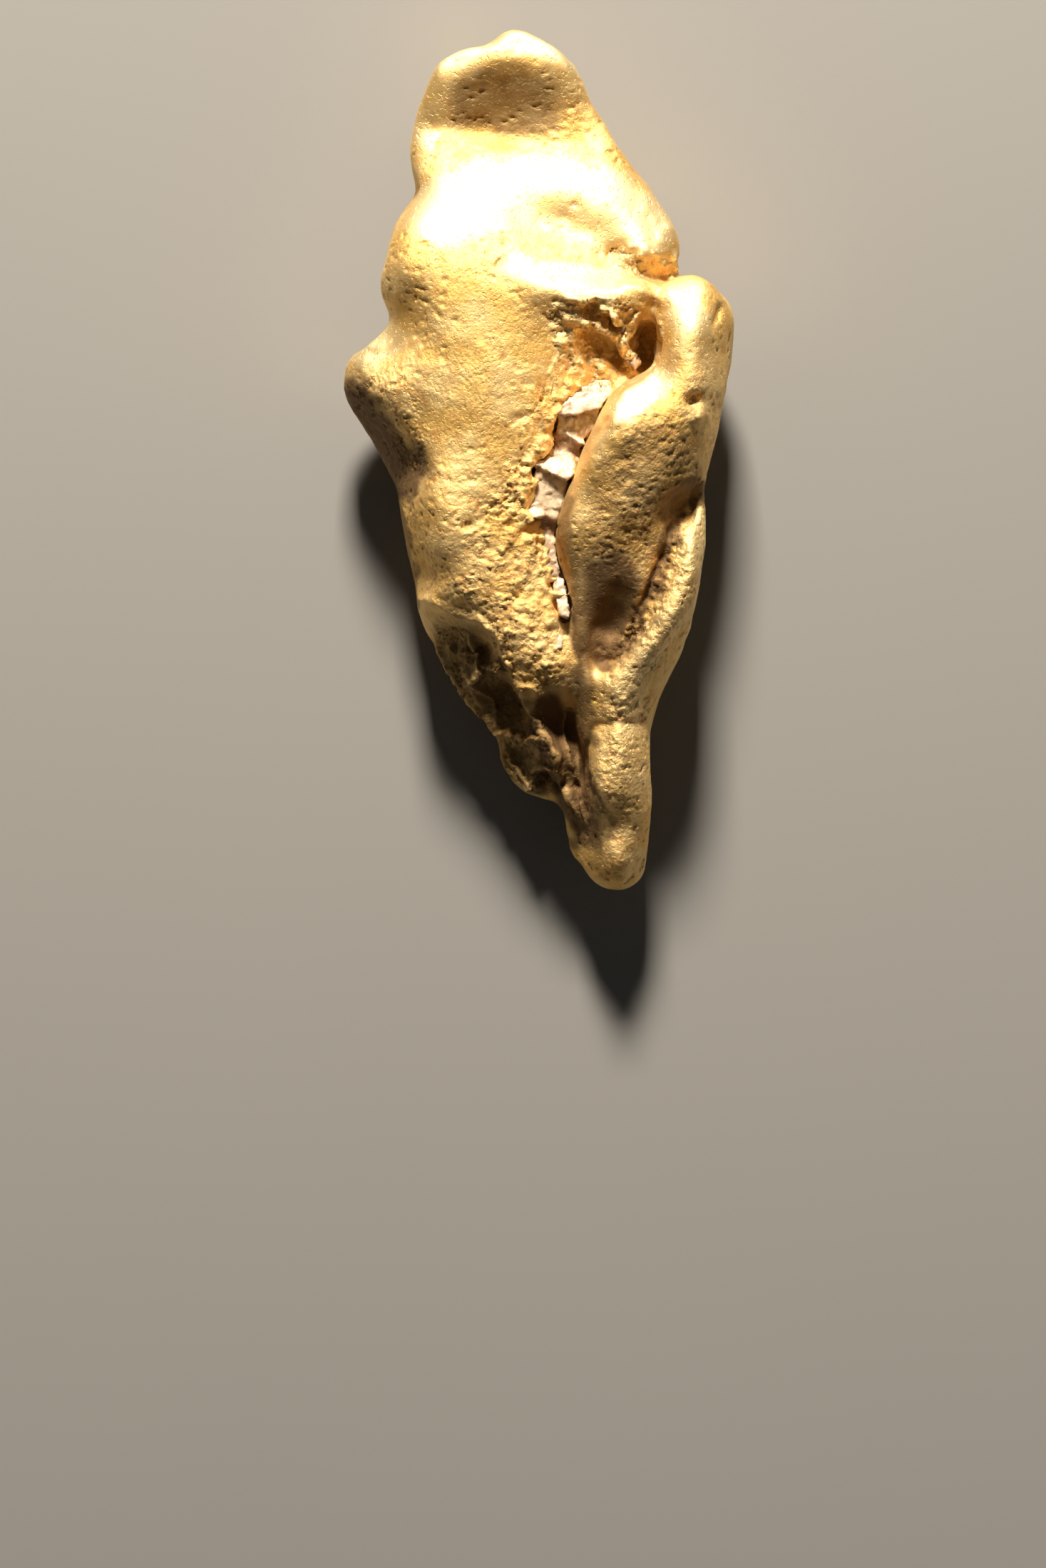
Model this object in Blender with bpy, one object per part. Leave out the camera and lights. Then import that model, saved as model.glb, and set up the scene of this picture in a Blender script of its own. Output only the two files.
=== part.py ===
"""A water-worn gold nugget with a vein of quartz, lying on its back.

Frame: +Y runs from the tail to the head, +X to the side of the thick fold, +Z up out of the front face.
The origin is below the middle of the nugget, on the surface that it rests on.
Outlines, spot heights and strokes are drawn in millimetres and brought to NUGGET_LENGTH at the end.
"""
import math

import bmesh
import bpy
import numpy as np
from mathutils import Matrix, Vector, noise

# ---------------------------------------------------------------- driving dimensions
MM = 0.001
NUGGET_LENGTH = 0.110         # m, tail to head of the finished nugget
THICKNESS = 1.06              # how much thicker the nugget is than its spot heights are drawn
EDGE_ROUND = 2.6              # mm, radius of the rounded edge of a slab
EDGE_REACH = 7.5              # mm, how far from the outline the faces start to fall off
FRONT_DROP = 1.2              # mm, how far the front has fallen at the outline
BACK_RISE = 5.0               # mm, how far the back has risen at the outline
END_FADE = 1.5                # how many reaches a stroke takes to fade in from its end
END_HEIGHT = 0.25             # share of its height that a stroke has at its end
THINNEST = 2.4                # mm, least thickness away from the rounded edge
WAVER = 0.6                   # mm, how far a stroke's course wavers
WAVER_SIZE = 5.0              # mm, length of that wavering
LUMP = 1.3                    # mm, height of the worn lumps on the back and sides
LUMP_SIZE = 11.0              # mm, width of a worn lump
BACK_THINNING = 0.001         # how strongly the back gives up faces before the front does
SIDE_SHARE = 0.15             # how far the sides are spared too
SLAB_HALF_HEIGHT = 8.0        # mm, half the height of a slab before its relief is given
SLAB_VOXEL = 0.55             # mm, mesh size of a slab
BODY_VOXEL = 0.5              # mm, mesh size of the joined nugget
GOLD_TRIANGLES = 8700         # about how many faces the gold keeps
REST_CUT = 1.3                # mm, how far the worn resting face is cut into the back
CURVE_STEPS = 6               # steps between two outline points
BEVEL_STEPS = 4               # steps round a slab's edge
SOFTEN_TIMES = 3              # how often the joined nugget is smoothed
SOFTEN_SHARE = 0.5            # how far a vertex moves each time
WAVER_LAYERS = (1.5, 7.5)     # where in the noise the wavering is read, across and along
LUMP_ROUGHNESS = 1.0          # how fast the finer lumps get lower
LUMP_FINENESS = 2.0           # how much finer each layer of lumps is
LUMP_LAYERS = 2               # layers of lumps
LUMP_REACH = 0.6              # how far round to the front the lumps go
CUT_MARGIN = 1e-7             # m, how close to the cut a vertex counts as on it

VEIN_FLOOR = 9.0              # mm, height of the bottom of the quartz vein's pocket
VEIN_TOP = 32.0               # mm, a height clear above everything
VEIN_GAP = 0.35               # mm, clear gap between quartz and gold

# ---------------------------------------------------------------- outlines, mm
BODY_OUTLINE = [
    (17.1, 23.3), (17.9, 25.1), (17.9, 27.4), (16.7, 30.3), (14.2, 33.7), (11, 37.7), (8.7, 41.9),
    (7, 44.5), (5.9, 46.9), (3.2, 51), (0, 53), (-2.6, 54), (-4.1, 53.7), (-6, 52.1), (-9.2, 51.6),
    (-12.7, 49.8), (-14.6, 46.2), (-16, 41.2), (-15.8, 37.2), (-14.9, 33.7), (-15.7, 32),
    (-17.7, 28.9), (-18.9, 24.5), (-19.2, 20.5), (-18.4, 18.1), (-18.9, 16.6), (-21.2, 14.7),
    (-23.8, 12.7), (-24.3, 9.6), (-23.1, 6.6), (-20.7, 3), (-19.1, -0.7), (-17.5, -5.3),
    (-16.4, -10.5), (-15.4, -15.5), (-14.8, -19.7), (-12.6, -23.7), (-10.2, -28.2), (-8, -31.4),
    (-5.5, -34.9), (-4.5, -38.7), (-2, -41.7), (0, -42.4), (2.6, -43.2), (4, -46.8), (5.9, -50.6),
    (8.6, -48.9), (9.5, -43.2), (9.5, -34.6), (10, -26), (11.8, -17.4), (12.6, -8.8), (14.6, -0.1),
    (17.2, 8.5), (19.1, 15.9), (18.5, 20.2),
]
FOLD_OUTLINE = [
    (17.8, 22.7), (20.1, 22.9), (22.4, 21.2), (24, 18.9), (24.4, 14.8), (24, 10.5), (23, 6.2),
    (21.9, 0.7), (21.1, -4.2), (20.7, -10.5), (20, -15.9), (18.5, -21.1), (17.2, -24.9),
    (15.3, -28.9), (14.1, -33.2), (14.1, -37.5), (14.4, -43.2), (13.7, -48.9), (12.7, -52.5),
    (10, -54), (7.2, -52.9), (5.9, -50.6), (5.7, -46.1), (6, -40.3), (5.6, -35.7), (4.7, -31.1),
    (4.2, -26), (3.6, -22), (3.2, -16.8), (2.2, -13.1), (1.6, -9.9), (2.3, -6.2), (3.9, -2.4),
    (5.2, 1.3), (6.6, 4.4), (8.9, 7.4), (12.1, 9.7), (14.1, 11.9), (14.6, 14.8), (14.2, 17.7),
    (14.9, 20.5),
]
VEIN_OUTLINE = [
    (8.6, 7), (7.7, 5.5), (6.6, 3.2), (5.3, 0.6), (4.3, -2.6), (3.2, -5.2), (2.4, -7.8), (2, -10.4),
    (2.5, -13), (3.4, -15.2), (4, -17.7), (4.1, -20.6), (2.8, -20.6), (1.9, -18.4), (1.6, -15.7),
    (0.7, -13.9), (-0, -11.7), (-0.5, -9.5), (-1.6, -8.1), (-1.3, -6.4), (-0.4, -5), (-0.4, -3.2),
    (-1.1, -1.5), (-0, -0.4), (1.2, 0.3), (1.8, 2.1), (1.6, 3.9), (2.3, 5.2), (3, 7), (4.6, 8.1),
    (6.2, 9), (7.8, 9.7), (9, 9),
]

# ---------------------------------------------------------------- spot heights, (x, y, z) in mm
BODY_FRONT = [
    # head rim
    (-2.6, 52.4, 17), (-9.2, 50.4, 16.8), (2.9, 49.8, 16.8), (-12.6, 48.1, 16.2), (5.7, 44.9, 15.8),
    (-14.8, 43.5, 15), (8.3, 40.6, 15.6), (-5.2, 49.8, 17.1),
    # head valley
    (-5.2, 46.9, 15.7), (-9.2, 46.4, 15.6), (0, 46.9, 15.8), (-9.2, 44.1, 14.7), (-5.2, 42.9, 13.7),
    (-0.6, 43.5, 14.1), (2.9, 42.6, 14.4), (-12.6, 43, 14.7), (-9.2, 41, 13.8), (-3.4, 40, 13.7),
    (0.6, 39.6, 14.3), (4, 40.4, 14.6), (-14.4, 42, 14.4), (7.4, 41.4, 15.2),
    # belt
    (-14, 34.3, 17.4), (-8, 34.3, 17.4), (-2.3, 34.3, 17.2), (3.4, 34.3, 17.2), (9.2, 34.3, 17.2),
    (-9, 37.6, 15.8), (-2, 37, 15.8), (5, 37.4, 15.9), (13.2, 32, 17), (-16.7, 27.4, 20.8),
    (-15.2, 31, 19.3), (-10.9, 28, 20.6), (-5.2, 28.6, 20.1), (-0.6, 28.6, 18.9), (6.3, 30.3, 18.3),
    (12.1, 28.6, 18.3), (15.5, 28.6, 16.9),
    # right shoulder
    (12.6, 26, 18.9), (15.6, 25.8, 18.1),
    # notch valley
    (4, 26.3, 19.2), (8.6, 25.1, 18.5), (12.1, 24, 17.8), (15.5, 23.7, 16.6),
    # second ridge
    (-0.6, 22.8, 21.5), (4, 22.2, 21), (8.6, 21.7, 20.4), (12.1, 21.1, 20.2), (1.4, 19.6, 22),
    (5, 19.6, 22.1), (9, 19.2, 21.8), (4.4, 17.4, 21.6), (7, 16.4, 21),
    # plate
    (-17.6, 22.8, 21.3), (-13.8, 22.8, 21.6), (-8, 22.8, 22), (-13.8, 17.1, 21), (-8, 17.1, 22),
    (-2.3, 17.1, 22), (2.9, 17.1, 21), (-16.7, 11.3, 19.5), (-10.9, 11.3, 21.5), (-5.2, 11.3, 22),
    (0.6, 11.3, 21), (6.3, 11.3, 18.5), (-15.5, 5.6, 19.5), (-9.8, 5.6, 21.3), (-4, 5.6, 21.5),
    (0.6, 5.6, 20.6), (4, 5.6, 19), (-13.8, -0.1, 19.5), (-8, -0.1, 21), (-2.9, -0.1, 20.6),
    (0.6, -0.1, 19.6), (2.9, -0.1, 18.2), (-13.8, -5.9, 20), (-8.6, -5.9, 20.7), (-4, -5.9, 20.2),
    (0, -5.9, 19), (-13.2, -11.6, 19), (-8.6, -11.6, 20), (-4, -11.6, 19.6), (-0.6, -11.6, 19),
    (1.7, -11.6, 18), (-13.8, -17.2, 16.2), (-9.8, -17.4, 18.4), (-5.2, -17.4, 19.5),
    (-0.6, -17.4, 19), (2.3, -17.4, 18.2), (-5, -22, 18.6), (-0.6, -23.1, 19.2), (2.3, -23.1, 18.4),
    (-2.6, -26, 18.2), (0.6, -27.4, 18.4), (2.6, -28, 17.8),
    # left knob
    (-21.6, 12.6, 15), (-22.6, 9.8, 16), (-19.2, 14.6, 16), (-19.5, 10, 18.4), (-17.4, 16.8, 17.4),
    # left wall
    (-18.6, 3.8, 18), (-17.2, -0.1, 17), (-16.6, -5, 16.8), (-15.8, -8.8, 16.5), (-14.6, -14.5, 14),
    # scooped flank
    (-12.4, -21.2, 12.6), (-10.9, -25, 11), (-8, -29.8, 10.4), (-5.2, -33.8, 10), (-7.6, -24.2, 14),
    (-4.6, -29, 13.4), (-1.4, -33.6, 12.8), (1.8, -37.2, 13.6), (-1.7, -39.2, 10.4),
    (0.8, -41.2, 10.4), (4, -44, 11.6), (4.6, -38.2, 12.8), (2.6, -33, 13.6), (5.6, -47.6, 11),
]
FOLD_FRONT = [
    # top of the fold
    (17.8, 21.9, 22), (20.6, 20.6, 22.7), (17, 18.6, 23.4), (19.5, 17, 24.2), (16.2, 15.6, 24.4),
    (21.4, 14.8, 23.6), (16.4, 12.6, 24.6), (19, 12.6, 24.8), (23.4, 13.6, 20.8), (20.4, 8.6, 24.4),
    (22.2, 6.7, 21.8),
    # crest above the bright slope
    (16.4, 10.2, 24.3), (14.6, 7.7, 24.8), (12.2, 5.7, 25.8), (10.1, 4.4, 25.8), (8.6, 2.8, 25.4),
    (7, 0.6, 24.6),
    # foot of the bright slope, along the inner edge
    (14.8, 11, 23.1), (12.4, 8.9, 23.7), (9.4, 6.9, 24), (7.3, 4.4, 24), (6, 1.2, 24),
    # face of the fold
    (16.4, 5.2, 25.6), (17.8, 2.7, 24.9), (21.2, 2.2, 22), (13.6, 2.2, 25.6), (10.4, 0.4, 25.2),
    (11.4, -2.4, 24.8), (15.5, -3, 24), (19.5, -4.7, 20.8), (7.8, -2.4, 24.3), (5.8, -4, 23.4),
    (4.8, -7, 22.8), (8.6, -7, 23.7), (13.2, -7.6, 22.7), (16.7, -7, 21.4), (3.8, -10.5, 21.9),
    (6.6, -11.6, 22.5), (10.9, -11.6, 21.8), (14.4, -11.1, 20.9),
    # hollow
    (4, -15.1, 20.6), (7.5, -17.4, 20.5), (11.5, -16.8, 20.2), (4.6, -20.2, 20), (8.6, -22, 19),
    (6.3, -24.8, 18.5), (11.5, -21.4, 19.2), (5.6, -28, 18.2), (5.8, -32, 16.8),
    # lower right ridge
    (18.4, -9.9, 21.7), (19.5, -13.9, 21), (17.2, -15.1, 21.5), (16.1, -19.1, 21.2),
    (13.2, -23.1, 20.2), (9.8, -26, 19.2), (18.2, -19.2, 20.2), (16.5, -23.3, 19.2), (14.4, -27.1, 18.9),
    # waist
    (10.9, -29.4, 19.2), (8.6, -30, 18.6), (13.8, -30, 17.2), (10.3, -33.7, 18.8),
    (7.5, -33.7, 17.6), (13.2, -33.7, 16.8),
    # tail
    (10.3, -36.9, 18.7), (7.5, -37.5, 17.2), (12.9, -37.5, 16.4), (9.8, -41.5, 18),
    (6.9, -43.2, 15), (13.2, -42.6, 15), (10.3, -46.1, 15.8), (7.5, -47.2, 14), (10, -50.1, 15),
    (10, -52.4, 13.6), (7.2, -51.2, 12.5), (12.3, -51.2, 12.5),
]
BACK = [
    # head and shoulder
    (-2.6, 52.4, 3), (-10.9, 45.8, 2.5), (0.6, 45.8, 2.2), (-2.3, 34.3, 1), (-14.9, 34.3, 3),
    (12.1, 33.2, 3), (15.5, 28.6, 3.5), (3.4, 28.6, 0.5),
    # middle
    (6.3, 20, 0.3), (-5.2, 17.1, 0), (-15.5, 20, 2.5), (-10.9, 5.6, 0.3), (-21.8, 11.3, 3),
    (9.2, 5.6, 0.8), (-17.8, -0.1, 3), (-2.3, -5.9, 0), (6.3, -17.4, 1), (-13.2, -14.5, 2.5),
    # fold
    (20.7, 17.1, 4.5), (23.5, 13.6, 4.5), (21.2, -0.1, 5), (17.8, -17.4, 4.5), (14.4, -27.7, 4),
    # flank and tail
    (-8, -23.1, 1.5), (-10.9, -26, 2), (-2.3, -34.6, 1.2), (0, -40, 1.5), (10.3, -37.5, 2.5),
    (10, -51.8, 2.5),
]

# ---------------------------------------------------------------- strokes
# name, section, reach to each side in mm, height in mm (below 0 cuts in), points in mm
BODY_STROKES = [
    ("head crease", "round", 2.2, -0.5, [(-14.7, 41.8), (-9, 41), (-5.7, 40.8), (-2.5, 39.9),
                                         (0.5, 39.4), (3.8, 39.4), (7.1, 41)]),
    ("head hollow", "round", 6.5, -0.8, [(-6, 43.2), (-2.6, 43.4)]),
    ("rim crest", "round", 1.7, 0.8, [(-13.8, 46.4), (-11.8, 50.1), (-8.6, 51.2), (-5.2, 51.8),
                                      (-2.6, 53), (0.6, 52), (3.2, 50.1), (5.3, 46.4)]),
    ("notch valley", "round", 2.2, -1.3, [(17.4, 23.8), (14, 23.7), (11.6, 24.2), (9.4, 25)]),
    ("notch pit", "round", 1.2, -1.2, [(9.6, 25.2)]),
    ("shallow dip", "round", 4.0, -0.9, [(8.6, 26.8), (5, 27.8), (1.4, 29.2), (-1.6, 30.6)]),
    ("second ridge", "round", 3.0, 0.8, [(-3, 23.6), (1, 20.6), (5, 20), (9.6, 20), (13.6, 20.6)]),
    ("cave", "flat", 2.1, -2.0, [(6.6, 16.4), (8.4, 15.4), (10.4, 14.2)]),
    ("slot of the cave", "flat", 1.3, -1.6, [(6, 17.6), (7.6, 17), (9.6, 15.4)]),
    ("slot of the cave", "flat", 1.3, -2.2, [(5.4, 14.8), (8, 13.6), (10.6, 11.8)]),
    ("deep corner of the cave", "flat", 2.2, -5.0, [(12.2, 16.4), (13, 13.8), (12, 11.6)]),
    ("blade in the cave", "tent", 1.0, 1.6, [(7.8, 18.2), (9, 17), (10.4, 15.8)]),
    ("blade in the cave", "tent", 1.0, 1.6, [(6, 16), (8.4, 15), (10.8, 13.6)]),
    ("blade in the cave", "tent", 0.9, 2.2, [(9.8, 13.6), (11.4, 12.2), (13, 10.6)]),
    ("slope to the cave", "round", 3.2, -0.8, [(4.4, 13.8), (5.6, 12.2), (7.6, 10.6)]),
    ("seam", "round", 1.7, -1.4, [(9.4, 8.4), (7, 5.6), (5.2, 2.6), (3.8, -1.2), (2.4, -5.4),
                                  (1.4, -9.3), (1.8, -13.3), (3, -17.4), (3.6, -21)]),
    ("tail groove", "round", 1.3, -2, [(4.3, -31), (5.2, -35.7), (5.8, -40.3), (5.6, -44)]),
    ("pitted patch", "round", 2.4, -0.6, [(-8.4, -8.4), (-6.2, -7.2), (-3.8, -5.8)]),
    ("left notch", "round", 1.6, -2, [(-18.4, 19.1)]),
    ("steep wall", "tent", 4.6, -8.0, [(-25, 7.8), (-23.2, 5.2), (-20.8, 2), (-18.8, -0.8),
                                       (-18.2, -3)]),
    ("wall pocket", "round", 2.6, -2.6, [(-15, -0.6), (-15.4, -2)]),
    ("scoop", "flat", 1.9, -1.6, [(-8.6, -23.6), (-7.2, -24.6)]),
    ("scoop", "flat", 2.9, -2.6, [(-5.6, -27.6), (-3.8, -30.4), (-2.4, -32.8)]),
    ("scoop", "flat", 2.3, -1.8, [(-2.6, -36.6), (-2, -38.2)]),
    ("scoop", "flat", 1.3, -1.8, [(0.5, -38.2), (0.9, -40.8)]),
    ("scoop", "flat", 1.1, -1.6, [(2.6, -40.8)]),
    ("trough", "round", 2.2, -1.8, [(2.2, -31), (3, -33.4), (3.9, -36)]),
    ("web", "tent", 1.1, 1.3, [(-9.8, -21.4), (-7.8, -26.6), (-8.4, -28.6)]),
    ("web", "tent", 1.3, 1.8, [(-2.2, -27.8), (0, -32.6), (1.8, -36.8), (2.3, -39.6), (3.8, -42.4),
                               (5, -44.6)]),
    ("web", "tent", 1.1, 1.4, [(-3.4, -34.8), (-1, -35.4), (0.6, -36)]),
    ("flank rim", "tent", 1.2, 1.4, [(-14, -19.6), (-12.2, -22.8), (-8.6, -28.6), (-5.4, -32.8),
                                     (-4, -34.6)]),
    ("flank rim", "tent", 1.2, 1.2, [(-4, -38.6), (-1.6, -41), (0.6, -42), (2.8, -42.6)]),
    ("nib", "round", 1.2, 1.4, [(-1.3, -41)]),
]
FOLD_STROKES = [
    ("crescent scar", "round", 0.9, -0.9, [(21.7, 18.9), (22.7, 17.7), (23.1, 16.2)]),
    ("pit", "round", 1.3, -1.8, [(19.2, 6.7)]),
    ("pit lip", "round", 1.1, 0.7, [(19.6, 4.6)]),
    ("dark pocket", "round", 2.4, -2.6, [(19.8, -4.9), (17.8, -6.5), (16.2, -8.6)]),
    ("crease", "tent", 1.5, -1.8, [(20.2, -5.6), (17.2, -9.6), (15.5, -13.6), (14.2, -17.4),
                                   (12.1, -21.4), (9.2, -24.8), (6.9, -26.1)]),
    ("rough ridge", "round", 2.6, 1.1, [(19.6, -9.3), (18.4, -13.9), (16.9, -18.5), (14.5, -23.1),
                                        (11.5, -26.6)]),
    ("shoulder of the ridge", "round", 2.4, 1.6, [(20, -11), (19, -16), (17.4, -20.6),
                                                  (15.4, -25.4)]),
    ("waist", "round", 5.0, 1.2, [(12, -25), (10.6, -29), (10.3, -33)]),
    ("smooth hollow", "round", 5.5, -0.8, [(8.8, -20)]),
    ("neck crease", "round", 1.2, -0.6, [(6.2, -34), (10.3, -33.4), (14.1, -34)]),
    ("tail bulge", "round", 3.7, 0.3, [(10, -38.6)]),
    ("left shoulder of the tail", "round", 2.3, 1.8, [(7, -35.6), (7.2, -40.6), (8.2, -45.6)]),
    ("right shoulder of the tail", "round", 2.3, 1.5, [(13, -33.6), (13, -40), (12.8, -46.4)]),
    ("tail hollow", "round", 3.2, -0.7, [(10.2, -46.1)]),
    ("tip bulb", "round", 2.4, 0.6, [(9.9, -51.5)]),
    ("lip of the fold", "round", 2.4, 1.2, [(13.6, 10.6), (10.4, 8), (8.4, 5.4), (7, 1.8), (5.6, -3),
                                            (4.2, -6.9), (3.4, -10.7), (4.1, -15), (4.9, -20)]),
    ("edge of the bright slope", "round", 2.2, 1.4, [(14.8, 12), (12.2, 9.3), (9.7, 7.3),
                                                     (8, 4.8), (6.8, 2)]),
    ("bar below the fold", "round", 1.9, 1.6, [(5, -19), (5.5, -24), (5.6, -29), (5.9, -33),
                                               (6.4, -37)]),
]
BACK_STROKES = [
    ("under the steep wall", "round", 5.0, -3.5, [(-24.4, 9), (-22.6, 5), (-19.4, 0.6), (-18, -4)]),
    ("worn hollow", "round", 9.0, 2.4, [(-8, 33), (-4, 27)]),
    ("worn hollow", "round", 6.0, 2.2, [(11, 23), (15, 17)]),
    ("long furrow", "round", 4.5, 2.2, [(-13, -9), (-8, -14), (-3, -24), (3, -33)]),
    ("fold line", "round", 3.4, 1.8, [(13, 11), (14.5, 4), (13, -5), (13.5, -13), (10, -21)]),
    ("hollow", "round", 3.0, 1.8, [(-11, 43), (-7, 45)]),
    ("pit", "round", 2.0, 1.2, [(18, 3), (19, 0)]),
    ("pit", "round", 2.6, 1.6, [(-15, 12), (-17, 8)]),
    ("hollow", "round", 3.4, 1.6, [(9, -38), (10, -44)]),
]

# ---------------------------------------------------------------- quartz plates, mm and degrees
# middle of the top (x, y, z), size (across, along), turn about Z, tilt along, tilt across
QUARTZ_PLATES = [
    ((8.2, 9.4, 16.8), (6, 4), -20, 16, 4),
    ((5.5, 6.9, 19), (8, 3.6), 22, 26, -6),
    ((4.4, 4.2, 18.4), (8, 4), 20, 24, -8),
    ((3.2, 1.7, 17.8), (7, 3.4), 12, 22, -6),
    ((1.8, -1, 19), (7, 3.6), -14, 30, -4),
    ((1.1, -4.1, 18), (6.6, 4.4), 4, 24, -4),
    ((-0, -7, 18.6), (6, 3.6), -12, 28, 2),
    ((0.7, -9.8, 17.4), (5, 4), -10, 20, 4),
    ((1.6, -13, 17.4), (5, 4), -22, 22, 4),
    ((2.7, -16.8, 18), (3.8, 4.6), -14, 18, 10),
    ((3, -19.4, 17.6), (3.2, 3.6), -8, 20, 8),
]
PLATE_DEPTH = 9.0             # mm, how far a plate reaches down


# ---------------------------------------------------------------- helpers
def clear_scene():
    """Remove what the scene holds at the start."""
    for obj in list(bpy.data.objects):
        bpy.data.objects.remove(obj, do_unlink=True)


def link(name, mesh):
    """Put a mesh in the scene as an object of that name."""
    obj = bpy.data.objects.new(name, mesh)
    bpy.context.scene.collection.objects.link(obj)
    return obj


def bake(obj):
    """Replace an object by the mesh that its modifiers or its curve give."""
    bpy.context.view_layer.update()
    graph = bpy.context.evaluated_depsgraph_get()
    mesh = bpy.data.meshes.new_from_object(obj.evaluated_get(graph))
    name = obj.name
    bpy.data.objects.remove(obj, do_unlink=True)
    return link(name, mesh)


def remesh(obj, voxel):
    """Give an object an even mesh of the voxel size, in mm."""
    modifier = obj.modifiers.new("Even mesh", "REMESH")
    modifier.mode = "VOXEL"
    modifier.voxel_size = voxel * MM
    return bake(obj)


def coordinates(mesh):
    """The mesh's vertices as an array of rows x, y, z, in mm."""
    flat = np.empty(len(mesh.vertices) * 3)
    mesh.vertices.foreach_get("co", flat)
    return flat.reshape(-1, 3) / MM


def set_coordinates(mesh, points):
    """Move the mesh's vertices to the rows x, y, z, in mm."""
    mesh.vertices.foreach_set("co", (points * MM).ravel())
    mesh.update()


def thin_plate(distance):
    """The kernel of a bending plate, which passes smoothly through its spots."""
    safe = np.maximum(distance, 1e-9)
    return safe * safe * np.log(safe)


def relief(spots):
    """A smooth surface through the spot heights: a function of x and y arrays."""
    spots = np.array(spots, dtype=float)
    places = spots[:, :2]
    apart = np.linalg.norm(places[:, None] - places[None], axis=2)
    plane = np.column_stack([np.ones(len(spots)), places])
    system = np.block([[thin_plate(apart), plane], [plane.T, np.zeros((3, 3))]])
    weights = np.linalg.solve(system, np.concatenate([spots[:, 2], np.zeros(3)]))

    def height(x, y):
        here = np.column_stack([x, y])
        bend = thin_plate(np.linalg.norm(here[:, None] - places[None], axis=2))
        return bend @ weights[:-3] + weights[-3] + here @ weights[-2:]

    return height


def smooth_path(points, closed=False):
    """More points on a smooth curve through the points."""
    count = len(points)
    if count < 3:
        return points
    spots = np.array(points, dtype=float)
    path = []
    for index in range(count if closed else count - 1):
        near = [index - 1, index, index + 1, index + 2]
        near = [i % count for i in near] if closed else [min(max(i, 0), count - 1) for i in near]
        before, start, end, after = spots[near]
        for t in np.arange(CURVE_STEPS) / CURVE_STEPS:
            path.append(tuple(0.5 * (2 * start + (end - before) * t
                                     + (2 * before - 5 * start + 4 * end - after) * t ** 2
                                     + (3 * start - before - 3 * end + after) * t ** 3)))
    path.append(path[0] if closed else tuple(spots[-1]))
    return path


def distance_to_path(x, y, path):
    """How far each place is from a path of straight runs or a point, and from the path's ends."""
    nearest = np.full(len(x), np.inf)
    passed = np.zeros(len(x))
    length = 0.0
    ends = path[1:] if len(path) > 1 else path
    for (ax, ay), (bx, by) in zip(path, ends):
        run = math.hypot(bx - ax, by - ay)
        along = ((x - ax) * (bx - ax) + (y - ay) * (by - ay)) / max(run * run, 1e-9)
        along = np.clip(along, 0.0, 1.0)
        distance = np.hypot(x - ax - along * (bx - ax), y - ay - along * (by - ay))
        passed = np.where(distance < nearest, length + along * run, passed)
        nearest = np.minimum(nearest, distance)
        length += run
    return nearest, np.minimum(passed, length - passed)


def section(kind, reach):
    """Height of a stroke's section where reach runs from 0, the middle, to 1, the edge."""
    inside = np.clip(1.0 - reach, 0.0, 1.0)
    if kind == "tent":
        return inside
    if kind == "flat":
        ramp = np.clip(inside * 2.0, 0.0, 1.0)
        return ramp * ramp * (3.0 - 2.0 * ramp)
    return inside * inside * (3.0 - 2.0 * inside)


def waver(x, y, layer):
    """A smooth sideways shift for each place, the same every time."""
    places = zip(x / WAVER_SIZE, y / WAVER_SIZE)
    return WAVER * np.array([noise.noise(Vector((a, b, layer))) for a, b in places])


def stroke_height(strokes, x, y):
    """What the strokes add to a surface."""
    across, along = (value + waver(x, y, layer) for value, layer in zip((x, y), WAVER_LAYERS))
    total = np.zeros(len(x))
    for _name, kind, reach, height, points in strokes:
        distance, to_end = distance_to_path(across, along, smooth_path(points))
        if len(points) > 1:
            fade = np.clip(to_end / (END_FADE * reach), 0.0, 1.0)
            height = height * (END_HEIGHT + (1.0 - END_HEIGHT) * fade)
        total += height * section(kind, distance / reach)
    return total


def outline_curve(name, outline, bevel, half_height):
    """A filled closed curve through the outline, with rounded top and bottom edges."""
    curve = bpy.data.curves.new(name, "CURVE")
    curve.dimensions = "2D"
    curve.fill_mode = "BOTH"
    curve.resolution_u = CURVE_STEPS
    curve.extrude = (half_height - bevel) * MM
    curve.bevel_depth = bevel * MM
    curve.bevel_resolution = BEVEL_STEPS
    curve.offset = -bevel * MM
    spline = curve.splines.new("BEZIER")
    spline.use_cyclic_u = True
    spline.bezier_points.add(len(outline) - 1)
    for point, (x, y) in zip(spline.bezier_points, outline):
        point.co = (x * MM, y * MM, 0.0)
        point.handle_left_type = "AUTO"
        point.handle_right_type = "AUTO"
    return link(name, curve)


def slab(name, outline, front, strokes):
    """A rounded slab of the outline, pressed between the back and the front relief."""
    obj = bake(outline_curve(name, outline, EDGE_ROUND, SLAB_HALF_HEIGHT))
    obj = remesh(obj, SLAB_VOXEL)
    points = coordinates(obj.data)
    x, y = points[:, 0], points[:, 1]
    level = (points[:, 2] + SLAB_HALF_HEIGHT) / (2.0 * SLAB_HALF_HEIGHT)
    edge, _to_end = distance_to_path(x, y, smooth_path(outline, closed=True))
    edge = np.clip(1.0 - edge / EDGE_REACH, 0.0, 1.0) ** 2
    low = relief(BACK)(x, y) + stroke_height(BACK_STROKES, x, y) + BACK_RISE * edge
    high = relief(front)(x, y) + stroke_height(strokes, x, y) - FRONT_DROP * edge
    high = np.maximum(high, low + THINNEST)
    points[:, 2] = low + (high - low) * level * THICKNESS
    set_coordinates(obj.data, points)
    return obj


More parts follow.
